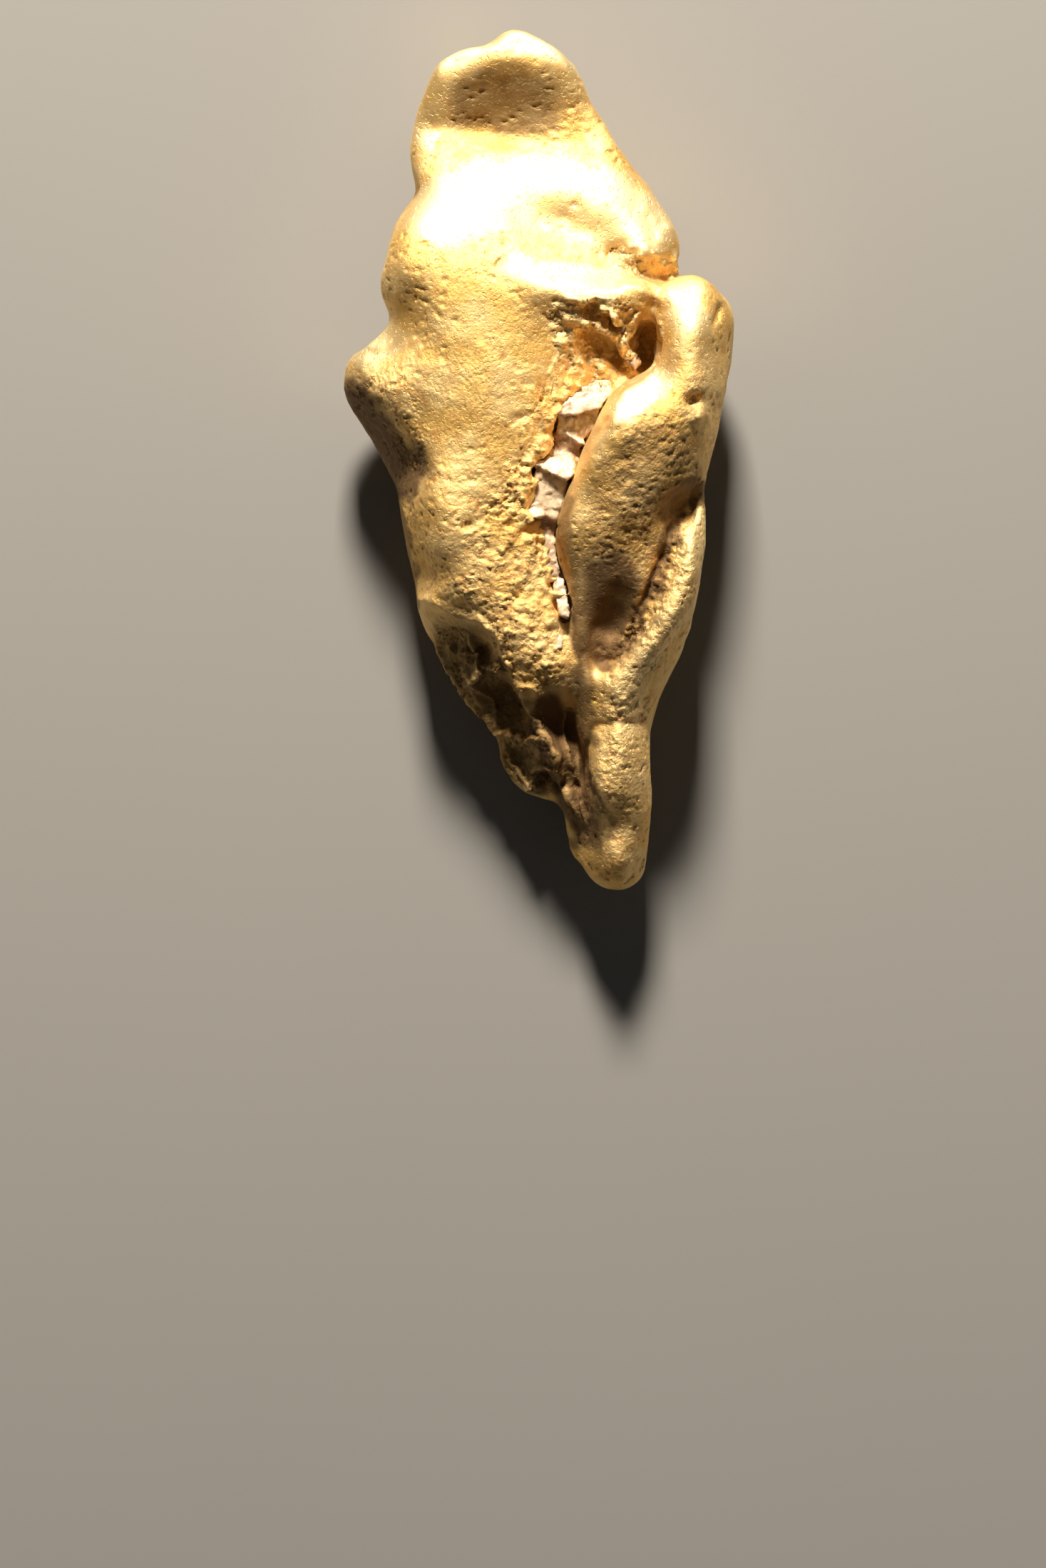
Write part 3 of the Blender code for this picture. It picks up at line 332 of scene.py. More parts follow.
GRANULAR = [
    ("lower right ridge", 1.0, 3.0, [(21, -8), (19.4, -14), (17.4, -20), (14.2, -26)]),
    ("waist", 1.0, 4.2, [(12, -27.5), (10.6, -32)]),
    ("tail", 1.0, 4.4, [(10.4, -36), (10.2, -42.4)]),
    ("tip", 0.8, 3.0, [(10.2, -47), (10.2, -52)]),
    ("lower left edge", 0.9, 3.0, [(-16.4, -8), (-14.8, -14)]),
    ("plate", 0.25, 7.0, [(-12, 14), (-9, 2), (-9, -12)]),
    ("upper plate", 0.15, 6.0, [(-9, 24), (-5, 16), (-3, 8)]),
    ("beside the knob", 0.7, 3.0, [(-19, 10), (-16.6, 4), (-14, 0)]),
    ("face of the fold", 0.8, 6.0, [(17.5, 8), (15, 1), (12, -6), (11, -13)]),
    ("trough", 0.3, 3.0, [(3, -34), (4.8, -42), (6, -49)]),
]
# Zones of wear: their relief is smoothed, and where they face the lamp a paler colour is painted as
# a highlight.
WORN_AND_HIGHLIT = [
    ("head rim", 1.0, 3.2, [(-14.8, 42), (-12, 49.5), (-3, 53), (4, 50)]),
    ("belt", 1.0, 6.0, [(-12, 31), (-4, 33.5), (4, 33), (12, 30), (15, 27)]),
    ("second ridge", 1.0, 2.4, [(-2, 23), (4, 22), (12, 22)]),
    ("knob", 1.0, 2.8, [(-22, 13.4), (-18, 16.4)]),
    ("top of the fold", 1.0, 3.0, [(17.6, 20.4), (19, 15)]),
    ("bright slope", 1.0, 3.0, [(15.4, 11), (12.4, 7.4), (9.4, 4.6), (7, 2.2)]),
    ("lip of the fold", 0.8, 1.2, [(6, 1), (4, -4), (3.0, -9), (4, -15)]),
    ("bar", 0.8, 2.0, [(5.4, -19), (5.8, -30), (6.2, -36)]),
    ("hollow of the fold", 0.9, 4.2, [(8.0, -16), (9.0, -21)]),
]
# Painted shade with tarnishing: darker brown on places that face away from the lamp or lie in
# creases.
TARNISHED_AND_SHADED = [
    ("head valley", 0.62, 6.2, [(-6.5, 45.4), (-2, 44.8)]),
    ("flank", 0.65, 5.4, [(-10, -24.6), (-5.4, -31), (-1, -39)]),
    ("trough", 1.0, 2.8, [(1.0, -31.4), (3.0, -34), (4.4, -37), (5.6, -44), (6.4, -48)]),
    ("beside the web", 1.0, 3.0, [(0.4, -33), (2.4, -38), (4.4, -44)]),
    ("crease", 1.0, 1.5, [(17.1, -9.1), (15.4, -13.6), (13.6, -18), (11, -23), (8, -25.8)]),
    ("face of the fold", 0.5, 7.0, [(15, -1), (12, -7), (10, -13)]),
    ("hollow of the fold", 1.0, 5.4, [(9.4, -15.6), (8.4, -22.6)]),
    ("pocket", 0.9, 2.6, [(19.6, -4.4), (16.8, -7)]),
    ("lip of the fold", 0.7, 1.8, [(3.0, -6), (2.6, -10), (4, -15), (4.6, -22)]),
    ("bar", 0.85, 1.7, [(5.0, -19), (5.8, -30), (6.0, -36)]),
    ("cave", 0.5, 2.0, [(12.6, 13), (13.6, 14.6)]),
    ("left wall", 1.0, 3.6, [(-24.0, 7.8), (-22.0, 4.6), (-19.4, 1.4), (-17.2, -1.4), (-17, -3)]),
    ("wall pocket", 1.0, 2.6, [(-17.0, 0.2), (-15.2, -1.4)]),
    ("lower left edge", 0.6, 1.2, [(-17.8, -6), (-16.8, -12), (-15.8, -18)]),
    ("notch valley", 0.3, 1.3, [(10.5, 25), (13, 24.2), (17, 23.4)]),
    ("tip", 0.25, 4.0, [(9, -50)]),
    ("lower body", 0.14, 5.2, [(-5.5, -11.5), (-3.8, -16), (-2.4, -22), (0, -26)]),
]
# Pale zones: painted light, a paler colour and less of the hollows' painted shade, where light or
# its reflection falls.
PALE = [
    ("lower right ridge", 0.7, 3.4, [(20.6, -8), (18.6, -14), (16.6, -20), (12.4, -26)]),
    ("waist", 0.5, 4.0, [(11, -29), (10, -33)]),
    ("tail", 0.5, 4.4, [(10.4, -36), (10.2, -42.4)]),
    ("cave", 0.7, 5.0, [(5, 17.4), (9, 15.4), (12, 14.6)]),
    ("below the cave", 0.6, 2.4, [(4, 13), (8, 11), (10.4, 9.8)]),
    ("notch valley", 1.0, 2.0, [(10.5, 25), (13, 24.6), (17, 24)]),
]
STAINED = [
    ("cave", 0.7, 4.0, [(6, 17), (9, 15), (13, 13)]),
    ("brown wedge", 0.7, 0.9, [(2.4, 1.9), (4.6, 0.6)]),
    ("brown hollow", 0.8, 1.2, [(-0.6, -8.8), (1.6, -9.2)]),
    ("low end", 0.5, 1.6, [(0.6, -11.4), (1.4, -15)]),
]
# Where the gold is scratched: (name, how many scratches, half width in mm, points).
SCRATCHED = [("face of the fold", 420, 6.0, [(15, 3), (12, -5), (9, -12)])]


def smooth_path(points, steps=6):
    """More points on a smooth curve through the points."""
    spots = np.array(points, dtype=float)
    last = len(spots) - 1
    if last < 2:
        return spots
    path = []
    for index in range(last):
        corners = [max(index - 1, 0), index, index + 1, min(index + 2, last)]
        before, start, end, after = spots[corners]
        for t in np.arange(steps) / steps:
            path.append(0.5 * (2 * start + (end - before) * t
                               + (2 * before - 5 * start + 4 * end - after) * t ** 2
                               + (3 * start - before - 3 * end + after) * t ** 3))
    path.append(spots[-1])
    return np.array(path)


def distance_to_path(places, path):
    """How far each place is from a path or a single point, and from the path's nearer end."""
    nearest = np.full(len(places), np.inf)
    passed = np.zeros(len(places))
    length = 0.0
    for start, end in zip(path, path[1:] if len(path) > 1 else path):
        run = float(np.hypot(*(end - start)))
        along = np.clip((places - start) @ (end - start) / max(run * run, TINY), 0.0, 1.0)
        distance = np.hypot(*(places - start - along[:, None] * (end - start)).T)
        passed = np.where(distance < nearest, length + along * run, passed)
        nearest = np.minimum(nearest, distance)
        length += run
    return nearest, np.minimum(passed, length - passed)


# A stroke's height across its course, from 0 at its edge to 1 at its middle.
SECTIONS = {
    "blade": lambda inside: inside ** 1.6,
    "ridge": lambda inside: inside * inside * (3.0 - 2.0 * inside),
    "groove": lambda inside: np.clip(inside * 1.6, 0.0, 1.0) ** 1.5,
    "bowl": lambda inside: np.sqrt(np.clip(1.0 - (1.0 - inside) ** 2, 0.0, 1.0)) * inside ** 0.5,
}


def stroke(places, kind, half_width, points):
    """How strongly a stroke acts at each place, from 0 to 1."""
    distance, to_end = distance_to_path(places, smooth_path(points))
    strength = SECTIONS[kind](np.clip(1.0 - distance / half_width, 0.0, 1.0))
    if len(points) > 1:
        inwards = np.clip(to_end / (half_width * END_FADE), 0.0, 1.0)
        strength = strength * (END_HEIGHT + (1.0 - END_HEIGHT) * inwards)
    return strength


def zone(surface, areas):
    """How far each place lies inside soft areas with ragged edges, from 0 to 1."""
    edge = ZONE_WANDER * noise_at(surface.places, size=2.6, layer=4)
    inside = np.zeros(len(surface.flat))
    for _name, strength, half_width, points in areas:
        distance, _to_end = distance_to_path(surface.flat, smooth_path(points))
        depth = np.clip((half_width - distance + edge) / (ZONE_EDGE * half_width), 0.0, 1.0)
        inside = np.maximum(inside, strength * depth * depth * (3.0 - 2.0 * depth))
    return inside


def carve(surface, strokes, direction=None):
    """Presses a list of strokes into the front of a surface, with ragged courses."""
    height = np.zeros(len(surface.flat))
    ragged = surface.flat + STROKE_WANDER * np.column_stack(
        [noise_at(surface.places, size=1.6, layer=layer) for layer in (6, 7)])
    for _name, kind, half_width, amount, points in strokes:
        height += amount * stroke(ragged, kind, half_width, points)
    surface.push(height * surface.front, direction)


class Surface:
    """The places and outward directions of a mesh's vertices, to be pushed in and out."""

    def __init__(self, mesh):
        self.mesh = mesh
        self.read()

    def read(self):
        """Takes the places and directions from the mesh as it now is."""
        self.places = self.of_vertices("co")
        self.outward = self.of_vertices("normal")
        self.flat = self.places[:, :2] / MM
        self.front = np.clip(self.outward[:, 2] / FULLY_FRONT, 0.0, 1.0)

    def of_vertices(self, name):
        """Three numbers for every vertex."""
        values = np.empty(len(self.mesh.vertices) * 3)
        self.mesh.vertices.foreach_get(name, values)
        return values.reshape(-1, 3)

    def push(self, distance, direction=None):
        """Moves every vertex so many mm out along its own direction, or along the one given."""
        if direction is None:
            direction = self.outward
        self.places = self.places + direction * (distance * MM)[:, None]
        self.mesh.vertices.foreach_set("co", self.places.ravel())
        self.mesh.update()
        self.read()

    def keep(self, name, values):
        """Stores a value for every vertex, for the materials to read."""
        attribute = self.mesh.attributes.new(name, "FLOAT", "POINT")
        attribute.data.foreach_set("value", np.ascontiguousarray(values, dtype=np.float32))


noise.seed_set(NOISE_SEED)


def noise_at(places, size, layer, octaves=1):
    """Smooth noise from about -1 to 1 at each place, its lumps about size mm wide.

    Each layer is a pattern of its own.
    """
    offset = Vector([layer * step for step in NOISE_STEPS])
    scale = 1.0 / (size * MM)
    if octaves == 1:
        return np.array([noise.noise(Vector(place) * scale + offset) for place in places])
    return np.array([noise.fractal(Vector(place) * scale + offset, 1.0, 2.0, octaves)
                     for place in places])


def leaning_cell(here, bend, bend_scale):
    """The height and the lean of the bent cell that a point lies in, and how far its edge is."""
    here = here + bend * noise.noise_vector(here * bend_scale)
    distances, centres = noise.voronoi(here)
    turn = CELL_TURNS * noise.noise(centres[0] * CELL_TURN_STEP)
    away = here - centres[0]
    lean = away.x * math.cos(turn) + away.y * math.sin(turn)
    return noise.noise(centres[0] * CELL_HEIGHT_STEP), lean, distances[1] - distances[0]


def crumbs(places, size, layer):
    """Height of crumbled lumps about size mm wide with gaps between them, from about -1 to 1."""
    offset = Vector([layer * step for step in CRUMB_STEPS])
    scale = Vector((1.0, 1.35, 1.0)) / (size * MM)
    heights = np.empty(len(places))
    for index, place in enumerate(places):
        height, lean, edge = leaning_cell(
            Vector(place) * scale + offset, bend=0.45, bend_scale=1.7)
        heights[index] = 0.9 * height + 0.7 * lean + 0.7 * min(edge / 0.22, 1.0) - 0.5
    return heights


def small_pits(places, size, share, layer):
    """1 in the middle of small wide pits and 0 outside them; more share makes more of them."""
    wide = places * (0.6, 1.0, 1.0)
    lumps = noise_at(wide, size, layer) + 0.5 * noise_at(wide, 0.45 * size, layer + 1)
    patches = noise_at(places, 6.0 * size, layer + 2)
    return np.clip((lumps + 0.35 * patches - 0.55 + share) / 0.3, 0.0, 1.0)


def bake(piece):
    """Applies a piece's modifiers."""
    mesh = bpy.data.meshes.new_from_object(
        piece.evaluated_get(bpy.context.evaluated_depsgraph_get()))
    piece.modifiers.clear()
    old = piece.data
    piece.data = mesh
    bpy.data.meshes.remove(old)


def copy_of_node(node, name):
    """A new piece with a CAD node's shape, its loose triangles joined."""
    mesh = bpy.data.meshes.new(name)
    shape = bmesh.new()
    shape.from_mesh(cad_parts[node].data)
    bmesh.ops.remove_doubles(shape, verts=shape.verts, dist=SAME_PLACE)
    shape.to_mesh(mesh)
    shape.free()
    piece = bpy.data.objects.new(name, mesh)
    bpy.context.scene.collection.objects.link(piece)
    return piece


def remesh(piece, voxel):
    """Gives a piece an even mesh of small faces."""
    piece.modifiers.new("even mesh", "REMESH").voxel_size = voxel
    bake(piece)


def smooth(piece, times):
    """Smooths a piece a number of times."""
    piece.modifiers.new("smooth", "SMOOTH").iterations = times
    bake(piece)


def thin_out(piece, triangles):
    """Takes faces away where the surface doesn't face forward, down to about so many triangles."""
    piece.data.calc_loop_triangles()
    share = triangles / len(piece.data.loop_triangles)
    if share >= 1.0:
        return
    surface = Surface(piece.data)
    group = piece.vertex_groups.new(name="front")
    for index, upward in enumerate(surface.outward[:, 2]):
        facing = max(float(upward), 0.0) ** 0.5
        group.add([index], BACK_WEIGHT + (1.0 - BACK_WEIGHT) * facing, "REPLACE")
    modifier = piece.modifiers.new("thin out", "DECIMATE")
    modifier.ratio = share
    modifier.vertex_group = group.name
    modifier.invert_vertex_group = True
    modifier.vertex_group_factor = THINNING_FACTOR
    bake(piece)
    piece.vertex_groups.clear()


def depth_below(piece, surface, times):
    """How deep each vertex lies below a smoothed copy of the piece, in mm."""
    copy = bpy.data.objects.new("smoothed copy", piece.data.copy())
    bpy.context.scene.collection.objects.link(copy)
    smooth(copy, times)
    level = Surface(copy.data).places
    bpy.data.objects.remove(copy)
    return ((level - surface.places) * surface.outward).sum(axis=1) / MM


class Socket:
    """A node's output that can be used in sums."""

    def __init__(self, nodes, output):
        self.nodes = nodes
        self.output = output

    def math(self, operation, first, second, clamp=False):
        """A sum of two values or outputs."""
        return self.nodes.add("ShaderNodeMath", {"operation": operation, "use_clamp": clamp},
                              {0: first, 1: second})

    def __add__(self, other):
        return self.math("ADD", self, other)

    __radd__ = __add__

    def __mul__(self, other):
        return self.math("MULTIPLY", self, other)

    __rmul__ = __mul__

    def __sub__(self, other):
        return self.math("SUBTRACT", self, other)

    def __rsub__(self, other):
        return self.math("SUBTRACT", other, self)

    def clamped(self):
        """The same, kept from 0 to 1."""
        return self.math("ADD", self, 0.0, clamp=True)


class Nodes:
    """A material's nodes, made one call at a time."""

    def __init__(self, name):
        self.material = bpy.data.materials.new(name)
        self.material.use_nodes = True
        self.tree = self.material.node_tree
        self.tree.nodes.clear()

    def add(self, kind, settings=None, values=None, output=0):
        """One node: its settings first, then its sockets' values or links. Gives an output."""
        node = self.tree.nodes.new(kind)
        for name, value in (settings or {}).items():
            setattr(node, name, value)
        for key, value in (values or {}).items():
            if isinstance(value, Socket):
                self.tree.links.new(value.output, node.inputs[key])
            else:
                node.inputs[key].default_value = value
        return None if output is None else Socket(self, node.outputs[output])

    def attribute(self, name):
        """A value that the piece keeps for every vertex."""
        return self.add("ShaderNodeAttribute", {"attribute_name": name}, output="Fac")

    def noise(self, size, detail=2.0, roughness=0.5, distortion=0.0):
        """Noise with lumps about size mm wide, from 0 to 1."""
        place = self.add("ShaderNodeTexCoord", output="Object")
        return self.add("ShaderNodeTexNoise", {}, {
            "Vector": place, "Scale": 1.0 / (size * MM), "Detail": detail,
            "Roughness": roughness, "Distortion": distortion})

    def cells(self, size):
        """Soft distance to the nearest of scattered points about size mm apart."""
        place = self.add("ShaderNodeTexCoord", output="Object")
        return self.add("ShaderNodeTexVoronoi", {"feature": "SMOOTH_F1"},
                        {"Vector": place, "Scale": 1.0 / (size * MM), "Smoothness": 0.4})

    def between(self, value, low, high):
        """0 below low, 1 above high, smooth between."""
        return self.add("ShaderNodeMapRange", {"interpolation_type": "SMOOTHSTEP"}, {
            "Value": value, "From Min": low, "From Max": high})

    def mix(self, share, first, second):
        """A colour between two colours, which this node has at its sockets 6, 7 and 2."""
        return self.add("ShaderNodeMix", {"data_type": "RGBA"},
                        {"Factor": share, 6: first, 7: second}, output=2)

    def bump(self, height, distance):
        """Relief of so many mm for each 1 of height."""
        return self.add("ShaderNodeBump", {}, {"Height": height, "Distance": distance * MM})

    def surface(self, values):
        """Finishes the material with a Principled shader."""
        shader = self.add("ShaderNodeBsdfPrincipled", {}, values)
        self.add("ShaderNodeOutputMaterial", {}, {"Surface": shader}, output=None)
        return self.material


def rgba(colour):
    """A colour with full cover."""
    return (*colour, 1.0)


def gold_material(settings):
    """Satin gold, finely grained, with iron staining and painted shade in its hollows, tarnishing
    and painted shade where it faces away from the lamp, and painted highlights where it faces the
    lamp.
    """
    nodes = Nodes("gold")
    hollow = nodes.attribute("hollow")
    proud = nodes.attribute("proud")
    rough = nodes.attribute("rough")
    wear_and_highlight = nodes.attribute("wear_and_highlight")
    patches = nodes.noise(size=6.0, detail=4.0, roughness=0.6)
    blotches = nodes.noise(size=1.7, detail=3.0, roughness=0.6)
    speckle = nodes.noise(size=0.5)
    # Tarnished and shaded places: darker brown painted as shade, together with real tarnishing.
    tarnish_and_shade = nodes.attribute("tarnish_and_shade") * (0.8 + 0.4 * blotches)

    colour = nodes.mix(nodes.between(patches, 0.36, 0.64), rgba(settings.gold_colour),
                       rgba(settings.gold_pale))
    colour = nodes.mix(nodes.between(blotches, 0.50, 0.72) * (0.28 + 0.65 * rough), colour,
                       rgba(settings.gold_tan))
    # Iron staining and painted shade, darker in the hollows and the gaps between the crumbs.
    stain_and_shade = nodes.between(hollow + 0.3 * (blotches - 0.5), 0.2, 1.0)
    # Wear and painted highlight: a paler colour on the proud places.
    rubbed_and_highlit = (proud * (0.62 - 0.4 * tarnish_and_shade - 0.25 * rough)).clamped()
    # Painted highlight: a paler colour on the smooth slopes that face the lamp.
    painted_highlight = (wear_and_highlight * 0.75 * (1.0 - tarnish_and_shade)).clamped()
    # Painted shade with tarnishing, on the places that face away from the lamp.
    dull = (tarnish_and_shade * (1.0 - 0.35 * proud)).clamped()
    colour = nodes.mix(rubbed_and_highlit, colour, rgba(settings.gold_pale))
    colour = nodes.mix(painted_highlight, colour, rgba(settings.gold_highlight))
    colour = nodes.mix(dull, colour, rgba(settings.gold_tarnish_and_shade))
    colour = nodes.mix(stain_and_shade, colour, rgba(settings.gold_stain_and_shade))

    roughness = (GOLD_ROUGHNESS + 0.10 * patches + 0.06 * speckle + 0.12 * hollow
                 + 0.10 * tarnish_and_shade - 0.06 * wear_and_highlight)
    metallic = (1.0 - 0.3 * stain_and_shade - 0.12 * tarnish_and_shade).clamped()

    grain = nodes.noise(size=0.42, detail=5.0, roughness=0.68)
    pores = nodes.between(nodes.noise(size=0.55, roughness=0.6, distortion=0.6), 0.30, 0.44)
    patchy = nodes.between(nodes.noise(size=2.6, detail=3.0, roughness=0.6), 0.42, 0.62)
    granules = nodes.cells(size=0.5) * (0.05 + 0.45 * rough * (0.2 + patchy) - 0.05 * wear_and_highlight)
    relief = grain * (0.32 + 0.7 * rough - 0.22 * wear_and_highlight) + 0.3 * pores - granules
    return nodes.surface({"Base Color": colour, "Metallic": metallic, "Roughness": roughness,
                          "Normal": nodes.bump(relief, GOLD_RELIEF)})


def quartz_material(settings):
    """Milky cream quartz with cloudy patches and rust in its cracks."""
    nodes = Nodes("quartz")
    cloud = nodes.noise(size=1.6, detail=4.0, roughness=0.6, distortion=0.4)
    veins = nodes.noise(size=3.0, detail=3.0, roughness=0.6, distortion=1.2)
    colour = nodes.mix(nodes.between(cloud, 0.38, 0.66), rgba(settings.quartz_colour),
                       rgba(settings.quartz_shade))
    colour = nodes.mix(nodes.between(veins, 0.52, 0.68) * 0.6, colour, rgba(settings.quartz_stain))
    colour = nodes.mix(nodes.attribute("hollow"), colour, rgba(settings.quartz_stain))
    grain = nodes.bump(nodes.noise(size=0.4, detail=3.0, roughness=0.6), QUARTZ_RELIEF)
    return nodes.surface({
        "Base Color": colour, "Roughness": QUARTZ_ROUGHNESS + 0.2 * cloud, "Normal": grain,
        "IOR": QUARTZ_IOR, "Subsurface Weight": QUARTZ_GLOW,
        "Subsurface Radius": QUARTZ_GLOW_TINT, "Subsurface Scale": QUARTZ_GLOW_REACH * MM})


def floor_material(settings):
    """A plain pale floor."""
    nodes = Nodes("studio floor")
    cloud = nodes.noise(size=60.0, detail=3.0)
    shade = rgba([part * FLOOR_SHADE for part in settings.floor_colour])
    colour = nodes.mix(cloud, shade, rgba(settings.floor_colour))
    return nodes.surface({"Base Color": colour, "Roughness": FLOOR_ROUGHNESS})


class NuggetSettings(bpy.types.PropertyGroup):
    """Sizes and colours of the nugget's looks."""
    face_size: bpy.props.FloatProperty(
        name="Face size", description="Size of the small faces of the gold's mesh",
        default=0.00027, min=0.0002, max=0.002, unit="LENGTH", precision=5)
    grain_depth: bpy.props.FloatProperty(
        name="Grain depth", description="How deep the crumpled grain is, in mm",
        default=0.16, min=0.0, max=1.0)
    gold_colour: bpy.props.FloatVectorProperty(
        name="Gold", description="Main colour of the gold",
        default=(0.87, 0.575, 0.19), subtype="COLOR", min=0.0, max=1.0)
    # Also painted on the proud places, as wear and a painted highlight.
    gold_pale: bpy.props.FloatVectorProperty(
        name="Worn gold", description="Colour of the gold where it is rubbed bright",
        default=(0.95, 0.71, 0.34), subtype="COLOR", min=0.0, max=1.0)
    # Colour of the painted highlight on the smooth slopes that face the lamp.
    gold_highlight: bpy.props.FloatVectorProperty(
        name="Burnished gold", description="Colour of the gold on its smooth worn slopes",
        default=(0.98, 0.80, 0.48), subtype="COLOR", min=0.0, max=1.0)
    gold_tan: bpy.props.FloatVectorProperty(
        name="Tan gold", description="Colour of the gold's dull blotches",
        default=(0.74, 0.41, 0.14), subtype="COLOR", min=0.0, max=1.0)
    # Colour of the painted shade, with tarnishing, on the places that face away from the lamp.
    gold_tarnish_and_shade: bpy.props.FloatVectorProperty(
        name="Tarnished gold", description="Colour of the gold in its broad dull hollows",
        default=(0.24, 0.145, 0.066), subtype="COLOR", min=0.0, max=1.0)
    # Colour of the iron staining and the painted shade in the hollows.
    gold_stain_and_shade: bpy.props.FloatVectorProperty(
        name="Stain", description="Colour of the iron stain in the hollows",
        default=(0.18, 0.092, 0.045), subtype="COLOR", min=0.0, max=1.0)
    quartz_colour: bpy.props.FloatVectorProperty(
        name="Quartz", description="Main colour of the quartz",
        default=(0.80, 0.67, 0.48), subtype="COLOR", min=0.0, max=1.0)
    quartz_shade: bpy.props.FloatVectorProperty(
        name="Quartz shade", description="Colour of the cloudy parts of the quartz",
        default=(0.52, 0.38, 0.26), subtype="COLOR", min=0.0, max=1.0)
    quartz_stain: bpy.props.FloatVectorProperty(
        name="Quartz stain", description="Colour of the rust in the quartz's cracks",
        default=(0.30, 0.15, 0.07), subtype="COLOR", min=0.0, max=1.0)
    floor_colour: bpy.props.FloatVectorProperty(
        name="Floor", description="Colour of the studio floor",
        default=(0.29, 0.285, 0.28), subtype="COLOR", min=0.0, max=1.0)


def use_material(piece, material):
    """Gives a piece one material and smooth shading."""
    piece.data.materials.clear()
    piece.data.materials.append(material)
    piece.data.shade_smooth()


class NUGGET_OT_gold(bpy.types.Operator):
    """Make the gold with its folds, scoops, webs and grain"""
    bl_idname = "nugget.gold"
    bl_label = "Gold"

    def execute(self, context):
        settings = context.scene.nugget
        piece = copy_of_node("nugget", "gold_body")
        remesh(piece, CARVING_VOXEL)
        smooth(piece, GOLD_SMOOTHING)
        surface = Surface(piece.data)
        carve(surface, RIM_STROKES, STRAIGHT_UP)
        for strokes in (BROAD_STROKES, CAVE_STROKES, FLANK_STROKES, FOLD_STROKES, PIT_STROKES):
            carve(surface, strokes)
        self.crumbs(piece)
        remesh(piece, settings.face_size)
        smooth(piece, GOLD_SMOOTHING)
        thin_out(piece, GOLD_TRIANGLES)
        surface = Surface(piece.data)
        carve(surface, WEB_STROKES)
        rough, wear_and_highlight = self.texture(surface, settings.grain_depth)
        self.scratches(surface)
        surface.keep("rough", rough)
        self.stains(piece, surface, wear_and_highlight)
        use_material(piece, gold_material(settings))
        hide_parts("nugget")
        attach(piece, "root")
        return {"FINISHED"}

    def crumbs(self, piece):
        """Adds rows of small flat lumps, each set half into the gold or quartz below it."""
        bpy.context.view_layer.update()
        chance = np.random.default_rng(CRUMB_SEED)
        shape = bmesh.new()
        for _name, size, count, spread, points in CRUMBS:
            path = smooth_path(points, steps=12)
            for _crumb in range(count):
                start = chance.integers(len(path) - 1)
                middle = path[start] + chance.random() * (path[start + 1] - path[start])
                x, y = (middle + chance.normal(0.0, spread / 2.0, 2)) * MM
                width = size * chance.uniform(*CRUMB_SIZES) * MM
                stretch = Matrix.Diagonal((*chance.uniform(*CRUMB_STRETCH), 1.0))
                turn = Euler(chance.uniform(*CRUMB_TURN)).to_matrix().to_4x4()
                place = Matrix.Translation(Vector((x, y, self.top(x, y) + CRUMB_RISE * width)))
                lump = bmesh.ops.create_icosphere(shape, subdivisions=1, radius=width / 2)["verts"]
                bmesh.ops.transform(shape, matrix=place @ turn @ stretch, verts=lump)
        shape.from_mesh(piece.data)
        shape.to_mesh(piece.data)
        shape.free()

    def top(self, x, y):
        """How high the gold or the quartz reaches at a place on the front."""
        tops = []
        for name in ("gold_body", "quartz_crust"):
            hit, place, _normal, _face = bpy.data.objects[name].ray_cast(
                Vector((x, y, CAD_BOX[1].z * 2.0)), Vector(-STRAIGHT_UP))
            if hit:
                tops.append(place.z)
        return max(tops)

    def texture(self, surface, depth):
        """Dents everywhere, crumbs where it is crumpled, grains on the tail and pits elsewhere.

        Gives how rough each place is, and how far it wears smooth, which also sets where a
        highlight is painted.
        """
        crumpled = zone(surface, CRUMPLED) * surface.front
        wear_and_highlight = zone(surface, WORN_AND_HIGHLIT) * surface.front * (1.0 - WEAR * crumpled)
        unworn = 1.0 - WEAR * wear_and_highlight
        granular = zone(surface, GRANULAR) * surface.front * (1.0 - crumpled) * unworn
        plain = (1.0 - crumpled) * (1.0 - PIT_WEAR * wear_and_highlight)
        patches = noise_at(surface.places, size=3.2, layer=14)
        patchy = np.clip(PATCH_MIDDLE + PATCH_SWING * patches, *PATCH_LIMITS)
        dents = noise_at(surface.places, size=3.4, layer=1, octaves=2)
        swellings = noise_at(surface.places, size=2.0, layer=15)
        surface.push(DENT_HEIGHT * dents * unworn + SWELLING_HEIGHT * swellings * crumpled)
        lumps = (crumbs(surface.places, size=1.1, layer=2)
                 + 0.5 * crumbs(surface.places, size=0.6, layer=4))
        grains = crumbs(surface.places, size=0.8, layer=9)
        fine = noise_at(surface.places, size=0.9, layer=3, octaves=2)
        pits = small_pits(surface.places, size=0.8, share=0.15, layer=5)
        surface.push(depth * ((LUMP_SHARE * lumps - LUMP_PIT_SHARE * pits) * crumpled * patchy
                              + GRAIN_SHARE * grains * granular * patchy
                              + FINE_SHARE * fine * (FINE_LEFT + (1.0 - FINE_LEFT) * plain)
                              - PIT_SHARE * pits * plain))
        rough = np.clip(crumpled + GRANULAR_ROUGH * granular + PLAIN_ROUGH * plain, 0.0, 1.0)
        return rough, wear_and_highlight

